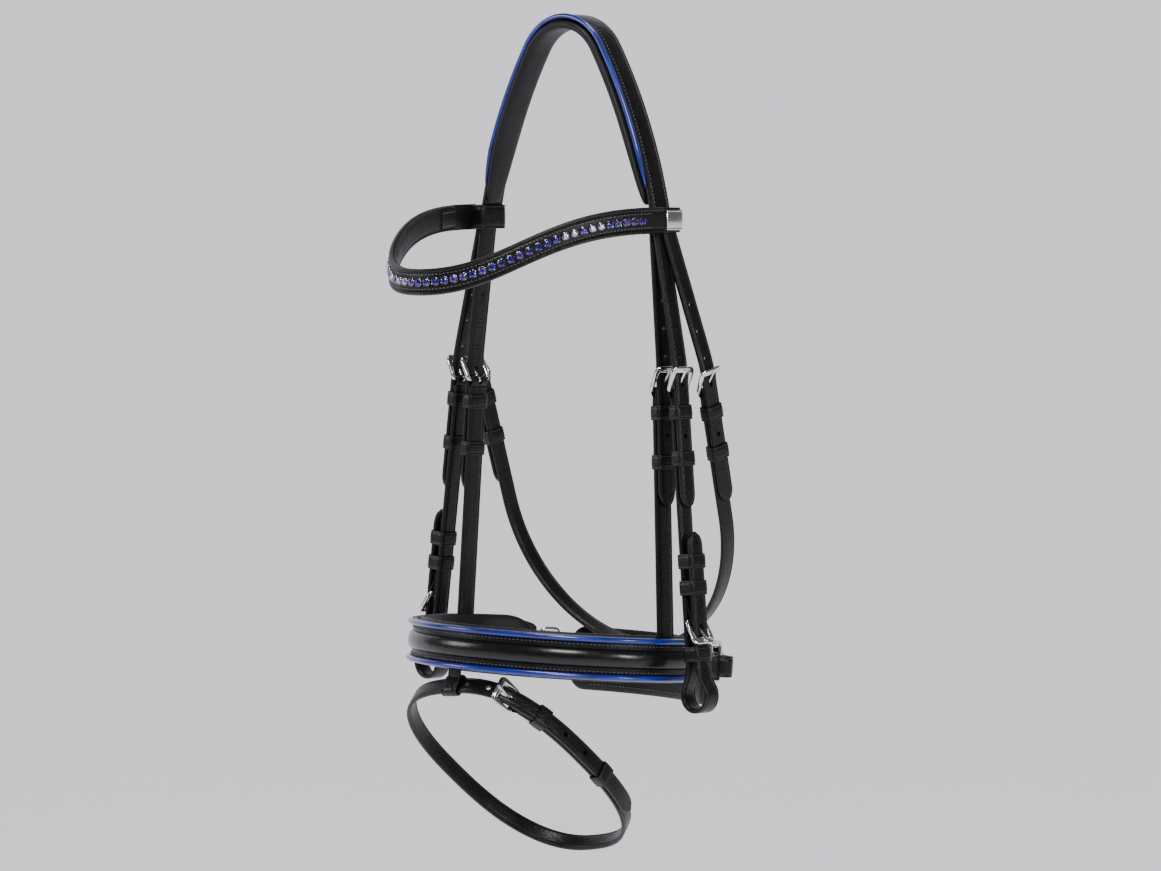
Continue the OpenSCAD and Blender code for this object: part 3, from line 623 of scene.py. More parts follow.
def wrap_piece(place, w, legs, mirror=False, up=14.0, lower=None):
    """The turned-back end of a strap round a buckle bar, with the gap for the tongue."""
    lower = legs if lower is None else lower
    r = 2.0
    bow = [(-r * math.cos(q), -r * math.sin(q)) for q in np.linspace(0, math.pi, 13)]
    pts = [(lower, up), (lower + 0.1 * np.sign(lower), up * 0.6), (-r, 2.2)] + bow
    pts += [(r, 2.2), (legs, up * 0.6), (legs, up)]
    pts = resample(rounded(pts, 0.6, steps=2), 0.8)
    p3 = place.pts([(x, 0, z) for x, z in pts])
    ob, _, _, _ = strap("wrap", p3, place.m[:, 1], w, 1.0, crease=1.5, groove=0.16, both=True, mirror=mirror)
    g = Geo()
    block(g, place, (-6, -1.5, -6), (6, 1.5, 3.4))
    cut(ob, g, mirror)
    return ob


def stitched_ends(geo, place, w, x, z0, z1, inset=2.0):
    """Two short rows of stitches and a cross row, as under a buckle."""
    p = resample(place.pts([(x, 0, z0), (x, 0, z1)]), 1.0)
    outs, sides = (repeat(place.m[:, k], len(p)) for k in (0, 1))
    for k in (-1, 1):
        stitch_row(geo, p, outs, sides, k * (w / 2 - inset), 0.05)
    q = resample(place.pts([(x, -(w / 2 - inset), z1), (x, w / 2 - inset, z1)]), 1.0)
    stitch_row(geo, q, repeat(place.m[:, 0], len(q)), repeat(place.m[:, 2], len(q)), 0, 0.05)


def buckle(name, body, place, w, *nodes, tilt=FRAME_TILT, mirror=False):
    """A flat-fronted wire buckle: round at the bar, flattened and slightly arched at its front."""
    half, length = w / 2 + WIRE_R + 0.8, BUCKLE_LEN
    p = place.at(m=rot("y", -tilt))
    ring = closed_ring([(-half, 0), (half, 0), (half, -length), (-half, -length)], 3.4, 7, 0.9)
    front = smoothstep(-2.5, -length + 2, ring[:, 1])
    arch = 0.9 * front * (1 - (ring[:, 0] / half) ** 2)
    pts = p.pts(np.stack([arch, ring[:, 0], ring[:, 1]], 1))
    t = unit(np.roll(pts, -1, 0) - np.roll(pts, 1, 0))
    side = unit(np.cross(t, p.m[:, 0]))
    wire = ring_profile(1.0, 16)
    wire = np.sign(wire) * np.abs(wire) ** 0.85
    prof = np.stack([wire * (WIRE_R + f, WIRE_R - 0.2 * f) for f in front])
    ob = make(name, sweep(Geo(), pts, np.cross(side, t), side, prof, closed=True), ["silver"], mirror, 50)
    return put(ob, body, *nodes, slot="steel")


def tongue(name, body, node, place, tilt=PIN_TILT, mirror=False):
    """A buckle tongue: a flat eye round the bar and a pin with a blunt, slightly raised tip."""
    g = Geo()
    p = place.at(m=rot("y", -tilt))
    a = np.linspace(0, 2 * math.pi, 25)[:-1]
    r = WIRE_R + 0.1 + 0.42
    ring = p.pts(np.stack([r * np.cos(a), 0 * a, r * np.sin(a)], 1))
    out = p.dirs(np.stack([np.cos(a), 0 * a, np.sin(a)], 1))
    oval = np.sign(ring_profile(1, 12)) * np.abs(ring_profile(1, 12)) ** 0.7
    sweep(g, ring, out, repeat(p.m[:, 1], len(ring)), oval * (1.25, 0.44), closed=True)
    z = np.linspace(-WIRE_R - 0.3, -BUCKLE_LEN - 3.0, 22)
    f = (z - z[0]) / (z[-1] - z[0])
    lift = 0.35 * np.sin(f * math.pi) * -1 + 0.3 * f ** 3
    pts = p.pts(np.stack([lift, 0 * z, z], 1))
    wide = np.interp(f, [0, 0.15, 0.8, 0.93, 1], [1.2, 1.05, 0.98, 0.9, 0.25])
    thick = np.interp(f, [0, 0.15, 0.8, 0.93, 1], [0.8, 0.9, 0.85, 0.7, 0.15])
    outs, sides, _ = frames(pts, p.m[:, 1])
    prof = np.stack([ring_profile(1, 12) * (w, h) for w, h in zip(wide, thick)])
    sweep(g, pts, outs, sides, prof)
    return put(make(name, g, ["silver"], mirror, 50), body, node, slot="steel")


def band_ring(geo, place, low, high, half_w, hw, t, corner=1.7, crease=1.5, groove=0.22, bulge=0.25):
    """A closed leather band round a stack of straps: low and high along x, half_w along y."""
    x0, x1, y = low - t / 2, high + t / 2, half_w + t / 2
    ring = closed_ring([(x0, -y), (x1, -y), (x1, y), (x0, y)], corner, 6, 1.0)
    swell = bulge * (1 - np.clip(np.abs(ring[:, 1]) / y, 0, 1) ** 2) * np.sign(ring[:, 0] - (x0 + x1) / 2)
    ring[:, 0] += swell * (np.abs(ring[:, 1]) < y - 0.3)
    pts, out = flat_ring(ring)
    sweep(geo, place.pts(pts), place.dirs(out), repeat(place.m[:, 2], len(pts)),
          flat_profile(hw, t, crease, groove, dome=0.1), closed=True)


def keeper(name, body, place, w, high, z, *nodes, clear=0.1, mirror=False):
    """A narrow keeper round two straps at z along their place."""
    g = Geo()
    band_ring(g, place.at((0, 0, z)), -STRAP_T / 2 - clear, high + clear, w / 2 + 0.15, KEEPER_H / 2 + 1,
              KEEPER_T + 0.15)
    return put(make(name, g, ["leather"], mirror), body, *nodes, slot="leather")


def hanging_billet(name, body, root, place, w, node, mirror=False):
    """Upper billet: from its root to a point below the buckle, with punched holes."""
    bend = place.pts([(BILLET_OFF, 0, -BEND_UP)])[0]
    root = np.array(root, float)
    top = root + ROOT_TOP * unit(root - bend)
    end = place.pts([(BILLET_OFF, 0, BILLET_TAIL)])[0]
    path = resample(rounded([top, bend, end], 9, steps=10), 2.2)
    ob, path, outs, sides = strap(name, path, place.m[:, 1], w, STRAP_T, tip=True, both=True, mirror=mirror)
    s = lengths(path)
    bar = np.linalg.norm(bend - top) + BEND_UP
    g = Geo()
    for d in (-61, -42, -23, 31):
        c, o = along(path, s, bar + d), along(outs, s, bar + d)
        rod(g, c - 4 * o, c + 4 * o, 1.6)
    stadium(g, place, BILLET_OFF - 4, BILLET_OFF + 4, -9.4, -2.2, 1.35)
    cut(ob, g, mirror)
    return put(ob, body, node, slot="leather")


# ---------------------------------------------------------------- headpiece


def crown_line(y, offset=0.0, end=END_ANGLE, run=0.0):
    """Points over the head from right to left, set out from the crown's middle line."""
    back = SIDE_R - CROWN_MID
    cx, cz = -back * math.sin(rad(TOP_ANGLE)), -back * math.cos(rad(TOP_ANGLE))
    pts = []
    for a in np.linspace(0, TOP_ANGLE, 20):
        pts.append(((CROWN_MID + offset) * math.sin(rad(a)), (CROWN_MID + offset) * math.cos(rad(a))))
    for a in np.linspace(TOP_ANGLE, end, 16)[1:]:
        pts.append((cx + (SIDE_R + offset) * math.sin(rad(a)), cz + (SIDE_R + offset) * math.cos(rad(a))))
    if run:
        d = np.array([math.sin(rad(90 - end)), -math.cos(rad(90 - end))])
        for k in np.linspace(0, run, 5)[1:]:
            pts.append(tuple(np.array(pts[19 + 15]) + k * d))
    left = np.array([(x, y, z) for x, z in pts])
    right = left[1:] * np.array([-1, 1, 1])
    return np.vstack([right[::-1], left])


FRONT = np.array([0, -1.0, 0])
crown_y = (CROWN_W - CROWN_STRAP_W) / 2
path = resample(crown_line(crown_y, 0, END_ANGLE, 9.0), 2.5)
crown, path, outs, sides = strap("crown", path, FRONT, CROWN_STRAP_W, CROWN_T, crease=1.5, groove=0.3,
                                 dome=0.35)
put(crown, "headpiece", "crown_strap", slot="leather")
g = Geo()
for k in (-1, 1):
    stitch_row(g, path, outs, sides, k * (CROWN_STRAP_W / 2 - 3.0), CROWN_T / 2 + 0.18, margin=12)
put(make("crown_stitching", g, ["thread"]), "headpiece")

path = resample(crown_line(-CROWN_W / 2 + 1.05, 0.9, END_ANGLE - 3), 1.6)
outs, sides, _ = frames(path, FRONT)
taper = np.clip(np.sqrt(np.clip(from_ends(path) / 26, 0, 1)), 0.12, 1)
path = path + outs * (-1.2 * (1 - taper))[:, None] - sides * (1.6 * (1 - taper))[:, None]
prof = np.stack([ring_profile(1.9 * k, 16) for k in taper])
cord = sweep(Geo(), path, outs, sides, prof)
put(make("crown_piping_cord", cord, ["patent"], smooth_angle=60), "headpiece",
    "crown_piping", slot="patent")


def pad_profile(n=28):
    """Section of a stuffed leather pad, one unit wide and thick each way from its middle."""
    c, s = ring_profile(1.0, n).T
    return np.stack([np.sign(c) * np.abs(c) ** 0.62, np.sign(s) * np.abs(s) ** 0.7], 1)


def stuffed(ob, held, pressure, limit=0.9, last=14):
    """Fills a padded piece with air in a short cloth simulation; its sewn-down part is held still."""
    before = np.array([v.co for v in ob.data.vertices])
    ob.vertex_groups.new(name="held").add(held, 1.0, "REPLACE")
    mod = ob.modifiers.new("stuffing", "CLOTH")
    mod.settings.vertex_group_mass = "held"
    mod.settings.mass = 0.05
    mod.settings.tension_stiffness = mod.settings.compression_stiffness = 12
    mod.settings.bending_stiffness = 0.6
    mod.settings.use_pressure = True
    mod.settings.uniform_pressure_force = pressure
    mod.settings.effector_weights.gravity = 0
    mod.collision_settings.use_collision = False
    mod.point_cache.frame_end = last
    for f in range(1, last + 1):
        bpy.context.scene.frame_set(f)
    apply_modifiers(ob, 60)
    bpy.context.scene.frame_set(1)
    after = np.array([v.co for v in ob.data.vertices])
    move = np.nan_to_num(after - before)
    size = np.linalg.norm(move, axis=1, keepdims=True)
    move *= np.minimum(1, limit * MM / np.maximum(size, 1e-9))
    ob.data.vertices.foreach_set("co", (before + move).ravel())
    finish_mesh(ob.data, 60)
    return ob


def pad(name, path, outs, sides, hw, low, high, ends=16.0, pucker=0.05, pitch=7.0, belly=0.6, seed=1):
    """A padded piece along a path: rounded ends, fullness between stitches, small creases."""
    rng = np.random.default_rng(seed)
    s = lengths(path)
    k = np.sqrt(np.clip(1 - (1 - np.clip(from_ends(path) / ends, 0, 1)) ** 2, 0.003, 1))
    base = pad_profile()
    ph = np.cumsum(rng.normal(0, 0.35, len(s))) * 0.3
    prof = []
    for i, ki in enumerate(k):
        mid, h = (low + high) / 2, (high - low) / 2
        p = base.copy()
        edge = np.abs(p[:, 0]) ** 3
        wave = 1 - pucker * 0.22 * edge * (0.5 + 0.5 * math.cos(2 * math.pi * s[i] / pitch + ph[i]))
        w = hw * (0.35 + 0.65 * ki)
        full = h * (0.25 + 0.75 * ki) * wave
        x = w * p[:, 0]
        y = mid + full * p[:, 1] - belly * (p[:, 1] < 0) * (1 - np.abs(p[:, 0]) ** 2.2) * ki
        prof.append(np.stack([x, np.minimum(y, high)], 1))
    ob = make(name, sweep(Geo(), path, outs, sides, np.stack(prof)), ["lining"], smooth_angle=60)
    m, last = len(base), len(s) - 1
    sewn = (base[:, 1] > 0.2) | (np.abs(base[:, 0]) > 0.72)
    held = [i * m + q for i in range(last + 1) for q in range(m) if sewn[q] or i < 2 or i > last - 2]
    return stuffed(ob, held, 4.0)


path = resample(crown_line(CROWN_PAD_Y + 0.7, -CROWN_T / 2, END_ANGLE - 1.2), 2.0)
outs, sides, _ = frames(path, FRONT)
put(pad("crown_pad", path, outs, sides, CROWN_W / 2 + 0.4, -CROWN_PAD_T - 0.4, -0.05, ends=60, belly=0.5,
        seed=4),
    "headpiece", "crown_padding", slot="lining")

# ---------------------------------------------------------------- browband


def brow_point(a):
    dip = max(math.sin(rad(a)), 0) ** 2.9
    return np.array([BROW_HALF_W * math.cos(rad(a)), BROW_Y - (BROW_REACH + BROW_Y) * math.sin(rad(a)),
                     LOOP_Z - BROW_DIP * dip * (1 + 0.24 * math.sin(rad(2 * a)) ** 2)])


def brow_out(a):
    return unit([(BROW_REACH + BROW_Y) * math.cos(rad(a)), -BROW_HALF_W * math.sin(rad(a)), 0])


def brow_line(angles):
    """Points along the band's middle, with outward and upward directions."""
    return (np.array([brow_point(a) for a in angles]), np.array([brow_out(a) for a in angles]),
            repeat([0, 0, 1], len(angles)))


def brow_sweep(geo, a0, a1, profile, steps=150, shrink=None, mat=0):
    pts, outs, sides = brow_line(np.linspace(a0, a1, steps + 1))
    prof = np.asarray(profile, float)
    if shrink is not None:
        prof = np.stack([shrink(prof, q) for q in from_ends(pts)])
    sweep(geo, pts, outs, sides, prof, mat=mat)
    return pts, outs, sides


hb = BROW_H / 2
half_section = [(hb, -0.9), (hb + 0.05, 0.2), (hb - 0.25, 1.2), (hb - 0.95, 1.95), (hb - 1.8, 2.05),
                (hb - 2.5, 1.65), (hb - 2.9, 1.12), (hb - 3.15, 0.98), (hb - 3.45, 1.15), (hb - 5.0, 1.22),
                (hb - 7.5, 1.25)]
brow_section = half_section + [(-x, y) for x, y in reversed(half_section)]
brow_section += [(-hb + 0.5, -1.2), (hb - 0.5, -1.2)]
g = Geo()
pts, outs, sides = brow_sweep(g, 4.2, 175.8, brow_section)
for side in (1, -1):
    loop = Place((side * (LOOP_IN[0] + LOOP_IN[1]) / 2, 0.75, LOOP_Z))
    half_x, half_y = (LOOP_IN[1] - LOOP_IN[0]) / 2, 10.25
    x, y = half_x + 1.05, half_y + 1.05
    p3, out = flat_ring(closed_ring([(-x, -y), (x, -y), (x, y), (-x, y)], 3.2, 8, 1.2))
    sweep(g, loop.pts(p3), out, repeat([0, 0, 1], len(p3)),
          flat_profile(LOOP_H / 2, LOOP_T - 0.3, 1.8, 0.2, both=True, dome=0.12), closed=True)
put(make("browband", g, ["leather"]), "browband", "browband_strap", slot="leather")
g = Geo()
for k in (-1, 1):
    stitch_row(g, pts, outs, sides, k * (hb - 4.2), 1.25, pitch=2.8, length=2.0, r=0.36, margin=10)
put(make("browband_stitching", g, ["thread"]), "browband")


def pillow_end(prof, e):
    k = math.sqrt(max(1 - (1 - min(e / 7.0, 1)) ** 2, 0.02))
    return np.stack([prof[:, 0] * (0.82 + 0.18 * k), -1.35 + (prof[:, 1] + 1.35) * (0.35 + 0.65 * k)], 1)


g = Geo()
lining_section = [(0, -4.6), (2.5, -4.58), (4.6, -4.35), (6.1, -3.7), (6.8, -3.25), (7.4, -3.55),
                  (8.1, -3.55), (8.6, -3.0), (8.7, -2.2), (8.3, -1.4), (0, -1.35)]
section = lining_section + [(-x, y) for x, y in reversed(lining_section[1:-1])]
brow_sweep(g, 13, 167, section, shrink=pillow_end)
patch_section = [(6.2, -4.2), (6.2, -4.95), (5.6, -5.2), (-5.6, -5.2), (-6.2, -4.95), (-6.2, -4.2)]
for a0, a1 in ((14.2, 20.5), (159.5, 165.8)):
    brow_sweep(g, a0, a1, patch_section, 10, mat=1)
    p, o, z = brow_line(np.linspace(a0, a1, 12))
    for k in (-1, 1):
        stitch_row(g, p, -o, z, k * 4.7, 5.2, mat=2)
put(make("browband_pad", g, ["lining", "leather", "thread"], smooth_angle=50), "browband", "browband_lining",
    slot="lining")


def brow_steps():
    """Angles of the crystals, evenly spaced along the band, as in part.scad."""
    a, out = 11.5, []
    while a <= 168.5:
        out.append(a)
        a += CRYSTAL_PITCH / np.linalg.norm(brow_point(a + 0.5) - brow_point(a - 0.5))
    return out


def lathe(geo, place, prof, n=20):
    """Turns a profile of (radius, height along x) about the place's x axis."""
    v, m = [], len(prof)
    for a in np.linspace(0, 2 * math.pi, n, endpoint=False):
        v += [(h, r * math.cos(a), r * math.sin(a)) for r, h in prof]
    faces = [(i * m + k, ((i + 1) % n) * m + k, ((i + 1) % n) * m + k + 1, i * m + k + 1)
             for i in range(n) for k in range(m - 1)]
    geo.add(place.pts(v), faces)


def crystal_cup(geo, place):
    """A claw setting: a turned cup with four small claws over its rim."""
    lathe(geo, place, [(0.01, 0.25), (R - 0.3, 0.25), (R - 0.1, 0.5), (R + 0.02, 1.25), (R + 0.22, 1.38),
                       (R + 0.42, 1.2), (R + 0.5, 0.7), (R + 0.55, 0.05), (R + 0.3, -0.1)])
    for w in np.radians([45, 135, 225, 315]):
        c, sn = math.cos(w), math.sin(w)
        tip = place.pts([(h, r * c, r * sn) for h, r in ((1.2, R + 0.35), (1.75, R - 0.05), (1.85, R - 0.5))])
        o, side, _ = frames(tip, place.dirs([[0, -sn, c]])[0])
        sweep(geo, tip, o, side, ring_profile(0.36, 8))


def crystal_kind(f):
    """Picks a colour at a place along the band: mostly blue, clear in two stretches, aqua at the far end."""
    clear = math.exp(-((f - 0.12) / 0.05) ** 2) + math.exp(-((f - 0.62) / 0.07) ** 2)
    if random.random() < smoothstep(0.88, 0.96, f):
        return 3
    if random.random() < clear * 0.75 + 0.06:
        return 2
    return 1 if random.random() < 0.3 else 0


def crystal(geo, place, mat, turn):
    """A cut stone: an eight-sided crown with a table point, a girdle and a pointed back."""
    v = [(2.35, 0, 0)]
    for r, h, off in ((R * 0.52, 2.35, 0), (R * 0.84, 1.95, 22.5), (R * 0.99, 1.35, 0), (R * 0.99, 1.15, 0)):
        for w in np.radians(np.arange(0, 360, 45) + off + turn):
            v.append((h, r * math.cos(w), r * math.sin(w)))
    v.append((0.3, 0, 0))
    faces = [(0, 1 + k, 1 + (k + 1) % 8) for k in range(8)]
    for k in range(8):
        n = (k + 1) % 8
        faces += [(1 + k, 9 + k, 1 + n), (1 + n, 9 + k, 9 + n)]
        faces += [(9 + k, 17 + n, 9 + n), (9 + k, 17 + k, 17 + n)]
        faces += [(17 + k, 25 + k, 25 + n, 17 + n), (25 + k, 33, 25 + n)]
    geo.add(place.pts(v), faces, mat)


random.seed(7)
R = CRYSTAL_D / 2
cups, stones = Geo(), Geo()
angles = brow_steps()
for i, a in enumerate(angles):
    o = brow_out(a)
    place = Place(brow_point(a) + o * (BROW_T - 1.8), np.stack([o, np.cross([0, 0, 1.0], o), [0, 0, 1.0]], 1))
    crystal_cup(cups, place)
    mat = crystal_kind(i / (len(angles) - 1))
    crystal(stones, place, mat, random.uniform(0, 45))
put(make("crystal_settings", cups, ["setting"], smooth_angle=40), "browband", "crystal_cups", slot="steel")
kinds = ["stone_blue", "stone_violet", "stone_clear", "stone_aqua"]
put(make("crystal_stones", stones, kinds, smooth_angle=1), "browband", "crystals", slot="crystal")

plate_x = LOOP_IN[1] + LOOP_T + 0.85
outline = resample(rounded([(plate_x, -3.4), (plate_x, 13.2), (plate_x - 9.5, 13.2)], 3.4, steps=10), 0.7)
p3 = np.column_stack([outline, np.full(len(outline), LOOP_Z)])
outs, sides, _ = frames(p3, (0, 0, -1.0))
if outs[0][0] < 0:
    outs, sides = -outs, -sides
half_plate = [(6.9, 0.1), (6.75, 0.42), (6.35, 0.6), (5.9, 0.62), (5.7, 0.5), (5.45, 0.48), (5.2, 0.6),
              (0, 0.68)]
plate = half_plate + [(-x, y) for x, y in reversed(half_plate[:-1])] + [(-6.8, -0.55), (6.8, -0.55)]
fullness = np.clip(from_ends(p3) / 0.6, 0.05, 1)
prof = np.stack([np.array(plate) * (0.94 + 0.06 * k, 0.55 + 0.45 * k) for k in fullness])
g = sweep(Geo(), p3, outs, sides, prof)
put(make("browband_plate", g, ["plate"], smooth_angle=45), "browband", "loop_plate", slot="plate")

# ---------------------------------------------------------------- straps that hang on both sides

h = STRAP_T / 2
PAIR_TOP = BILLET_OFF + h
cheek = hang(CHEEK_AT, LEAN, CHEEK_SLOPE)
bit_bar = Place(cheek.pts([(BILLET_OFF, 0, BIT_BAR)])[0], cheek.m * (1, 1, -1))
nose = hang(NOSE_AT, LEAN, NOSE_SLOPE)
throat = hang(THROAT_AT, THROAT_TILT, -THROAT_SLOPE)


def bit_loop_line():
    """Middle line of a cheekpiece: down, round the bit loop and up again to its point."""
    line = [np.array((0.0, 5.0)), np.array((0.0, CHEEK_LEN - 1))]
    line += arc((-NECK_R, CHEEK_LEN), NECK_R, 0, NECK_TURN, 8)
    line += arc((BIT_GAP / 2, BIT_HOLE_Z), BIT_LOOP_R, 180 + NECK_TURN, -NECK_TURN, 44)
    line += arc((BIT_GAP + NECK_R, CHEEK_LEN), NECK_R, 180 - NECK_TURN, 180, 8)
    line.append(np.array((BIT_GAP, BIT_TIP)))
    return resample(thinned(line, 0.3), 2.2)


def cheekpiece(side, mirror):
    body = f"cheek_{side}"
    hanging_billet(f"cheek_upper_billet_{side}", body, CHEEK_ROOT, cheek, STRAP_W, f"cheek_billet_{side}",
                   mirror)
    path = cheek.pts([(x, 0, z) for x, z in bit_loop_line()])
    main = strap(f"cheekpiece_{side}_strap", path, cheek.m[:, 1], STRAP_W, STRAP_T, tip=True, both=True,
                 mirror=mirror)[0]
    g = Geo()
    stadium(g, bit_bar, BILLET_OFF - 4, BILLET_OFF + 4, -9.4, -2.2, 1.35)
    rod(g, *cheek.pts([(BIT_GAP - 4, 0, BIT_RUNNER - 12), (BIT_GAP + 4, 0, BIT_RUNNER - 12)]), 1.4)
    cut(main, g, mirror)
    wrap = wrap_piece(cheek, STRAP_W - 0.2, 1.75, mirror)
    chape = wrap_piece(bit_bar, STRAP_W - 0.2, -1.2, mirror, up=15, lower=-2.1)
    put(join(f"cheekpiece_strap_{side}", [main, wrap, chape]), body, f"cheekpiece_{side}", slot="leather")
    g = Geo()
    stitched_ends(g, cheek, STRAP_W, 2.35, 3.8, 9.0)
    put(make(f"cheek_stitching_{side}", g, ["thread"], mirror), body)
    buckle(f"cheek_buckle_frame_{side}", body, cheek, STRAP_W, f"cheek_buckle_{side}", mirror=mirror)
    buckle(f"bit_buckle_frame_{side}", body, bit_bar, STRAP_W, f"bit_buckle_{side}", mirror=mirror)
    for kind, place in (("cheek", cheek), ("bit", bit_bar)):
        tongue(f"{kind}_pin_{side}", f"{kind}_tongue_{side}", f"{kind}_tongue_{side}", place, mirror=mirror)
    g = Geo()
    for z, high in ((KEEPER_AT, PAIR_TOP), (BIT_KEEPER_TOP, BIT_GAP + h), (BIT_KEEPER, BIT_GAP + h)):
        band_ring(g, cheek.at((0, 0, z)), -h - 0.1, high + 0.1, STRAP_W / 2 + 0.15, KEEPER_H / 2 + 1,
                  KEEPER_T + 0.15)
    put(make(f"cheek_fixed_keepers_{side}", g, ["leather"], mirror), body, f"cheek_keepers_{side}",
        slot="leather")
    for kind, high, z in (("cheek", PAIR_TOP, RUNNER_AT), ("bit", BIT_GAP + h, BIT_RUNNER)):
        node = f"{kind}_runner_{side}"
        keeper(f"{kind}_sliding_keeper_{side}", node, cheek, STRAP_W, high, z, node, mirror=mirror)


def upper_hardware(kind, side, mirror, body, place, w, runner_z):
    """Buckle, tongue and keepers at the top of a noseband or throatlash strap."""
    buckle(f"{kind}_buckle_{side}", body, place, w, mirror=mirror)
    node = f"{kind}_tongue_{side}"
    tongue(f"{kind}_pin_{side}", node, node, place, mirror=mirror)
    keeper(f"{kind}_fixed_keeper_{side}", body, place, w, PAIR_TOP, KEEPER_AT + 1, mirror=mirror)
    node = f"{kind}_runner_{side}"
    keeper(f"{kind}_sliding_keeper_{side}", node, place, w, PAIR_TOP, runner_z, node, mirror=mirror)


def noseband_strap(side, mirror):
    hanging_billet(f"noseband_upper_billet_{side}", "noseband", NOSE_ROOT, nose, NOSE_STRAP_W,
                   f"noseband_billet_{side}", mirror)
    line = nose.pts([(0, 0, z) for z in np.arange(5.0, 197, 3.0)] + [(0, 0, 197)])
    main = strap("nose_strap", line, nose.m[:, 1], NOSE_STRAP_W, STRAP_T, both=True, mirror=mirror)[0]
    wrap = wrap_piece(nose, NOSE_STRAP_W - 0.2, 1.75, mirror)
    put(join(f"noseband_strap_{side}", [main, wrap]), "noseband", f"noseband_cheek_{side}", slot="leather")
    upper_hardware("noseband", side, mirror, "noseband", nose, NOSE_STRAP_W, RUNNER_AT + 3)


def throatlash_end(side, mirror):
    hanging_billet(f"throat_upper_billet_{side}", "throatlash", THROAT_ROOT, throat, THROAT_W,
                   f"throat_billet_{side}", mirror)
    upper_hardware("throat", side, mirror, "throatlash", throat, THROAT_W, RUNNER_AT - 2)


for side, mirror in (("left", False), ("right", True)):
    cheekpiece(side, mirror)
    noseband_strap(side, mirror)
    throatlash_end(side, mirror)

for kind in ("noseband", "throat"):
    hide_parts(f"{kind}_buckles")
    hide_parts(f"{kind}_keepers")

# Throatlash strap: down one side, under the throat and up the other
r = (THROAT_AT[0] - THROAT_DROP * math.tan(rad(THROAT_SLOPE))) * math.cos(rad(THROAT_SLOPE))
straight = (THROAT_DROP + r * math.sin(rad(THROAT_SLOPE))) / math.cos(rad(THROAT_SLOPE))
plane = Place((0, THROAT_AT[1], THROAT_AT[2]), rot("x", THROAT_TILT)).at((0, 0, -THROAT_DROP))
left = throat.pts([(0, 0, z) for z in np.linspace(5, straight, 40)])
turn = np.radians(np.linspace(-THROAT_SLOPE, -180 + THROAT_SLOPE, 90))
hoop = plane.pts(np.column_stack([r * np.cos(turn), 0 * turn, r * np.sin(turn)]))
path = resample(np.vstack([left[:-1], hoop, (left[:-1] * (-1, 1, 1))[::-1]]), 3.0)
main = strap("throat_main", path, plane.m[:, 1] * -1, THROAT_W, STRAP_T, both=True)[0]
wraps = [wrap_piece(throat, THROAT_W - 0.2, 1.75, mirror=m) for m in (False, True)]
put(join("throatlash_strap", [main] + wraps), "throatlash", "throat_strap", slot="leather")

# ---------------------------------------------------------------- noseband

nose_frame = Place((0, NOSE_Y, -NOSE_DROP), rot("x", -NOSE_TILT) @ rot("z", -90))


def hoop_line(r, a0, a1, z=0.0, step=2.0):
    """An arc of the noseband's circle, with outward and upward directions."""
    n = max(4, int(abs(a1 - a0) / 360 * 2 * math.pi * r / step))
    a = np.radians(np.linspace(a0, a1, n + 1))
    pts = nose_frame.pts(np.column_stack([r * np.cos(a), r * np.sin(a), 0 * a + z]))
    outs = nose_frame.dirs(np.column_stack([np.cos(a), np.sin(a), 0 * a]))
    return pts, outs, repeat(nose_frame.m[:, 2], len(pts))


TAB_R = RING_WIRE + 0.15 + 0.6


def turned_end(geo, place, r, angle, reach, half_w, t, sign=1, flip=1, z=0.0):
    """A leather end turned round a ring's wire, lying along the circle of radius r."""
    bow = [(TAB_R * math.cos(q), TAB_R * math.sin(q)) for q in np.linspace(0.15, math.pi - 0.15, 12)]
    pts = [(1.2, -reach), (TAB_R * 0.9, -3.0)] + bow + [(-TAB_R * 0.9, -3.0), (-1.2, -reach)]
    pts = resample(rounded(pts, 0.5, steps=2), 0.9)
    p = Place(m=rot("z", angle)).pts(np.column_stack([r + pts[:, 0], flip * pts[:, 1], 0 * pts[:, 0] + z]))
    p3 = place.pts(p * (1, sign, 1))
    o, sd, _ = frames(p3, place.m[:, 2])
    sweep(geo, p3, o, sd, flat_profile(half_w, t, 1.6, 0.2, both=True))


pts, outs, sides = hoop_line(NOSE_R, -NOSE_END, NOSE_END)
half = (NOSE_H - 4) / 2 * (0.55 + 0.45 * np.sqrt(np.clip(from_ends(pts) / 26, 0, 1)))
g = Geo()
sweep(g, pts, outs, sides, np.stack([flat_profile(w, NOSE_T, 1.6, 0.25) for w in half]))
for sign in (1, -1):
    turned_end(g, nose_frame, NOSE_R, RING_FRONT, 14, CHIN_W / 2 - 0.2, 1.2, sign, z=CHIN_Z / 2)
put(make("noseband_leather", g, ["leather"]), "noseband", "nosepiece", slot="leather")

half_gap = PIPING_GAP / 2
g = Geo()
for k in (-1, 1):
    stitch_row(g, pts, outs, sides, k * (half_gap - 3.6), NOSE_T / 2 + 0.14, pitch=2.9, length=2.1, r=0.46,
               margin=22)
put(make("noseband_stitching", g, ["thread"]), "noseband")

p, o, sd = hoop_line(NOSE_R + NOSE_T / 2, -NOSE_END + 4, NOSE_END - 4)
domes = []
for k in np.sqrt(np.clip(from_ends(p) / 45, 0.002, 1)):
    hw = ROLL_H / 2 * (0.35 + 0.65 * k)
    x = np.linspace(hw, -hw, 19)
    dome = np.column_stack([x, 0.1 + 2.9 * k * (1 - (x / hw) ** 2) ** 0.62])
    domes.append(np.vstack([dome, [(-hw, -0.4), (hw, -0.4)]]))
put(make("noseband_roll", sweep(Geo(), p, o, sd, np.stack(domes)), ["roll"], smooth_angle=60), "noseband",
    "nosepiece_roll", slot="roll")

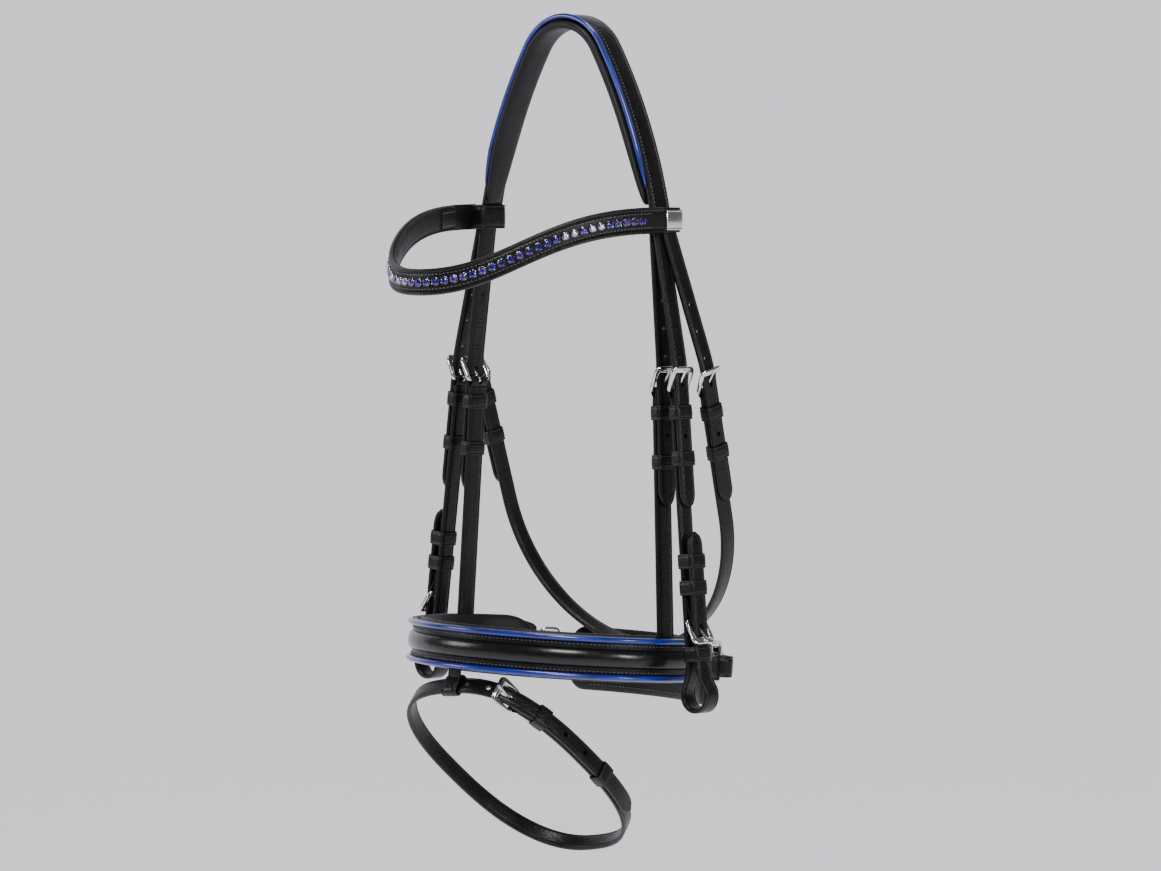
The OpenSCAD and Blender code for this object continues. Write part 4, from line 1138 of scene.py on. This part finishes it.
g = Geo()
for k in (-1, 1):
    p, o, sd = hoop_line(NOSE_R + NOSE_T / 2 + 2.0, -NOSE_END + 4, NOSE_END - 4, step=1.6)
    t = np.sqrt(np.clip(from_ends(p) / 30, 0.01, 1))
    p = p + sd * (k * (half_gap - 3.5 * (1 - t)))[:, None] - o * (1.6 * (1 - t))[:, None]
    sweep(g, p, o, sd, np.stack([ring_profile(2.0 * max(v, 0.25), 18) for v in t]))
put(make("noseband_piping", g, ["patent"], smooth_angle=70), "noseband", "nosepiece_piping", slot="patent")

p, o, sd = hoop_line(PAD_OUT, -NOSE_END + 3, NOSE_END - 3, step=1.8)
put(pad("noseband_pad", p, o, sd, NOSE_H / 2 - 0.8, PAD_IN - PAD_OUT, 0.0, ends=22, belly=0.5, pitch=8.5,
        pucker=0.03, seed=9), "noseband", "nosepiece_padding", slot="lining")
jaw_out = CHIN_IN - CHIN_T / 2 - 0.4
jaw_low = PAD_IN + 2 - jaw_out
p, o, sd = hoop_line(jaw_out, JAW_START, 360 - JAW_START, JAW_Z, 1.8)
put(pad("jaw_padding", p, o, sd, JAW_H / 2, jaw_low, 0.0, ends=12, belly=0.6, pitch=9.0, pucker=0.04,
        seed=12), "noseband", "jaw_pad", slot="lining")
g = Geo()
for k in (-1, 1):
    for out, height in ((o, -0.05), (-o, 0.15 - jaw_low)):
        stitch_row(g, p, out, sd, k * (JAW_H / 2 - 4.5), height, pitch=3.0, margin=16)
put(make("jaw_stitching", g, ["thread"]), "noseband")

# Rings between nosepiece and chin strap
g = Geo()
half = CHIN_W / 2 + 4.6 - CHIN_Z / 4
for sign, rear_r, mid_z in ((1, CHIN_MID, -2.5), (-1, CHIN_IN, -6.5)):
    a, b = (np.array([q * math.cos(rad(w)), sign * q * math.sin(rad(w))])
            for q, w in ((NOSE_R, RING_FRONT), (rear_r, RING_REAR)))
    low, high = mid_z - half, mid_z + half
    p3 = nose_frame.pts(closed_ring([(*a, low), (*b, low), (*b, high), (*a, high)], 3.0, 7, 0.9))
    t = unit(np.roll(p3, -1, 0) - np.roll(p3, 1, 0))
    out = repeat(unit(np.cross(nose_frame.dirs([*(b - a), 0]), nose_frame.m[:, 2])), len(p3))
    sweep(g, p3, out, np.cross(t, out), ring_profile(RING_WIRE, 16), closed=True)
put(make("noseband_rings", g, ["silver"], smooth_angle=60), "noseband", "chin_rings", slot="steel")

# Chin strap
chin = nose_frame.at((0, 0, CHIN_Z))
line = arc((0, 0), CHIN_IN, 360 - RING_REAR - 0.6, CURL_AT, 60)
curl = (CHIN_IN + CURL_R) * np.array([math.cos(rad(CURL_AT)), math.sin(rad(CURL_AT))])
line += arc(curl, CURL_R, CURL_AT + 186, CURL_AT + 396, 36)
line += arc((0, 0), CHIN_OUT, CURL_AT + 4.8, CHIN_TIP + 7.0, 30)
line = resample(thinned(line, 0.25), 1.6)
main = strap("chin_main", chin.pts(np.column_stack([line, 0 * line[:, 0]])), chin.m[:, 2], CHIN_W, CHIN_T,
             tip=True, both=True)[0]
chin_bar = chin.at(m=rot("z", CHIN_BAR)).at((CHIN_MID, 0, 0), rot("x", -90))
g = Geo()
stadium(g, chin_bar, CHIN_GAP / 2 - 4, CHIN_GAP / 2 + 4, -9.8, -2.0, 1.4)
for a in (CHIN_BAR - 12, CHIN_BAR + 13.2):
    o = chin.dirs([(math.cos(rad(a)), math.sin(rad(a)), 0)])[0]
    q = chin.pts([(CHIN_OUT * math.cos(rad(a)), CHIN_OUT * math.sin(rad(a)), 0)])[0]
    rod(g, q - 3 * o, q + 3 * o, 1.5)
cut(main, g)
chape = wrap_piece(chin_bar, CHIN_W - 0.2, -1.6, up=14, lower=-2.1)
g = Geo()
turned_end(g, chin, CHIN_IN, RING_REAR, 12, CHIN_W / 2 - 0.1, 1.1, sign=-1, flip=-1)
band_ring(g, chin.at(m=rot("z", CHIN_KEEPER_AT)).at((CHIN_MID, 0, 0), rot("x", -90)), -3.0,
          CHIN_GAP / 2 + CHIN_T / 2 + 0.2, CHIN_W / 2 + 0.25, KEEPER_H / 2, 1.15)
right_end = make("chin_end", g, ["leather"])
put(join("chin_strap_leather", [main, chape, right_end]), "noseband", "chin_strap", slot="leather")
buckle("chin_buckle_frame", "noseband", chin_bar, CHIN_W, "chin_buckle", tilt=CHIN_TILT)
tongue_body = next(b for b, ns in frame["record"]["behaviour"]["bodies"].items() if "chin_tongue" in ns)
tongue("chin_pin", tongue_body, "chin_tongue", chin_bar, tilt=CHIN_TILT + PIN_TILT - FRAME_TILT)

# ---------------------------------------------------------------- flash strap

flash = Place(FLASH_AT, rot("x", -FLASH_SLOPE) @ rot("y", -FLASH_ROLL))


def spow(v, p):
    return np.sign(v) * abs(v) ** p


def oval(a):
    return np.array([FLASH_WIDE / 2 * spow(math.sin(rad(a)), 2 / FLASH_BLUNT),
                     -FLASH_LEN / 2 * spow(math.cos(rad(a)), 2 / FLASH_BLUNT)])


def oval_dir(a):
    return unit(oval(a + 0.5) - oval(a - 0.5))


def flash_point(a):
    u, p = oval_dir(FLASH_START), oval(a) - oval(FLASH_START)
    return np.array([p[0] * u[0] + p[1] * u[1], -p[0] * u[1] + p[1] * u[0]])


TURN = math.atan2(oval_dir(FLASH_START)[1], oval_dir(FLASH_START)[0])
steps = [FLASH_START + 3 * i for i in range(121)]
table = [0.0]
for a in steps[:-1]:
    table.append(table[-1] + np.linalg.norm(flash_point(a + 3) - flash_point(a)))
ROUND = table[-1]


def flash_out(s, out):
    a = float(np.interp(s, table, steps))
    d = oval_dir(a)
    return flash_point(a) + out * np.array([d[1] * math.cos(TURN) - d[0] * math.sin(TURN),
                                            -d[1] * math.sin(TURN) - d[0] * math.cos(TURN)])


def flash_place(s):
    p, q = flash_out(s, 0), flash_out(s, 1)
    w = math.degrees(math.atan2(*(q - p)[::-1]))
    return flash.at((p[0], p[1], 0), rot("z", w) @ rot("x", -90))


def flash_lift(s):
    """How far the strap's outer layer lies outside the inner one."""
    return BILLET_OFF * min(1, max(0, (s - 8) / 26))


line = [flash_out(q, 0) for q in np.linspace(FLASH_BAR + 6, ROUND, 121)]
line += [flash_out(q, flash_lift(q)) for q in np.linspace(2, FLASH_TIP_S, 60)]
tip = flash_place(FLASH_TIP_S - 0.2).pts((BILLET_OFF, 0, 11))
line.append(((tip - flash.o) @ flash.m)[:2])
pts = flash.pts(resample(np.column_stack([line, np.zeros(len(line))]), 2.0))
main = strap("flash_main", pts, flash.m[:, 2], THROAT_W, STRAP_T, tip=True, both=True)[0]
bar = flash_place(FLASH_BAR)
g = Geo()
stadium(g, bar, BILLET_OFF - 4, BILLET_OFF + 4, -11.5, -0.7, 1.7)
for q in (12, 28, 88, 108):
    rod(g, *flash_place(q).pts([(flash_lift(q) - 2.2, 0, 0), (flash_lift(q) + 3, 0, 0)]), 1.75)
cut(main, g)
wrap = wrap_piece(bar, THROAT_W - 0.2, 1.75)
put(join("flash_leather", [main, wrap]), "flash", "flash_strap", slot="leather")
buckle("flash_buckle_frame", "flash", bar, THROAT_W, "flash_buckle")
tongue("flash_pin", "flash_tongue", "flash_tongue", bar)
for name, body, node, at in (("flash_fixed_keeper", "flash", "flash_keeper", FLASH_KEEPER_S),
                             ("flash_sliding_keeper", "flash_runner", "flash_runner", FLASH_RUNNER_S)):
    keeper(name, body, flash_place(at), THROAT_W, PAIR_TOP, 0, node, clear=0.25)
loop_place = Place(flash.o, np.stack([flash.m[:, 1], flash.m[:, 2], flash.m[:, 0]], 1))
g = Geo()
band_ring(g, loop_place, -h - 0.5, h + 0.5, THROAT_W / 2 + 0.25, FLASH_LOOP_W / 2 + 1.4, 1.6, corner=2.4,
          crease=2.0, groove=0.35, bulge=0.5)
put(make("flash_carrier", g, ["leather"]), "flash", "flash_loop", slot="leather")

# Short leather tab that carries the flash loop under the nosepiece
low = nose_frame.pts([(NOSE_R - 1.2, 0, -NOSE_H / 2 + 6)])[0]
mid = nose_frame.pts([(NOSE_R - 1.0, 0, -NOSE_H / 2 - 1.5)])[0]
top = flash.pts([(0, -2.6, 4.5)])[0]
under = flash.pts([(0, -2.9, -4.0)])[0]
path = resample(rounded([low, mid, top, under], 3, steps=6), 1.2)
link = strap("flash_tab", path, (1, 0, 0), 12.0, 1.6, both=True)[0]
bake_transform(link)

# ---------------------------------------------------------------- stage, light, camera

lo, hi = (Vector(v) for v in cad_box)
centre = (lo + hi) / 2


def stage_mesh():
    """A pale floor that curves up into a backdrop behind the bridle."""
    view = Vector((-math.sin(rad(45)), math.cos(rad(45)), 0))
    across = Vector((view.y, -view.x, 0))
    start = Vector((centre.x, centre.y, lo.z - 0.9))
    bend = [(5 + 3 * math.sin(a), 3 - 3 * math.cos(a)) for a in np.linspace(0, math.pi / 2, 14)[1:]]
    verts = []
    for d, z in [(-8, 0), (5, 0)] + bend + [(8, 9)]:
        verts += [tuple(start + view * d + across * w + Vector((0, 0, z))) for w in (-12, 12)]
    faces = [(k, k + 1, k + 3, k + 2) for k in range(0, len(verts) - 2, 2)]
    me = bpy.data.meshes.new("floor")
    me.from_pydata(verts, [], faces)
    m = Shader("floor")
    cloud = m.texture("Noise", Scale=1.5, Detail=3.0).outputs["Fac"]
    tone = m.ramp(cloud, (0.74, 0.735, 0.77), (0.76, 0.755, 0.79))
    m.connect(Base_Color=tone, Emission_Color=tone)
    m.settle(Emission_Strength=0.95, Roughness=0.95, Specular_IOR_Level=0.1)
    me.materials.append(MATS["floor"])
    finish_mesh(me, 60)
    ob = bpy.data.objects.new("floor", me)
    bpy.context.scene.collection.objects.link(ob)


stage_mesh()
world = bpy.data.worlds.new("studio")
bpy.context.scene.world = world
world.use_nodes = True
wt = world.node_tree
bg = wt.nodes["Background"]
bg.inputs[0].default_value = (0.80, 0.81, 0.84, 1)
bg.inputs[1].default_value = 0.18
seen = new(wt, "ShaderNodeBackground", Color=(0.57, 0.57, 0.60, 1), Strength=1.0)
rays, mix = new(wt, "ShaderNodeLightPath"), new(wt, "ShaderNodeMixShader")
wt.links.new(rays.outputs["Is Camera Ray"], mix.inputs["Fac"])
wt.links.new(bg.outputs[0], mix.inputs[1])
wt.links.new(seen.outputs[0], mix.inputs[2])
wt.links.new(mix.outputs[0], wt.nodes["World Output"].inputs["Surface"])


def area(name, place_at, size, power, colour=(1, 1, 1)):
    d = bpy.data.lights.new(name, "AREA")
    d.size, d.energy, d.color = size, power, colour
    ob = bpy.data.objects.new(name, d)
    ob.location = centre + Vector(place_at)
    ob.rotation_euler = (centre - ob.location).to_track_quat("-Z", "Y").to_euler()
    bpy.context.scene.collection.objects.link(ob)


area("key", (1.5, -1.3, 1.4), 0.7, 34)
area("fill", (-1.5, -1.7, 0.7), 0.8, 16)
area("top", (0.1, -0.3, 2.2), 0.6, 26)
area("side", (2.3, 0.2, 0.5), 0.35, 12)

cam_data = bpy.data.cameras.new("camera")
cam_data.lens, cam_data.sensor_width = 132.9, 36
cam_data.clip_end = 60
cam = bpy.data.objects.new("camera", cam_data)
back = Vector((math.sin(rad(45)) * math.cos(rad(4)), -math.cos(rad(45)) * math.cos(rad(4)), math.sin(rad(4))))
target = Vector((1.2, 6.7, -249)) * MM
cam.location = target + back * 3.0
cam.rotation_euler = (-back).to_track_quat("-Z", "Y").to_euler()
bpy.context.scene.collection.objects.link(cam)
bpy.context.scene.camera = cam
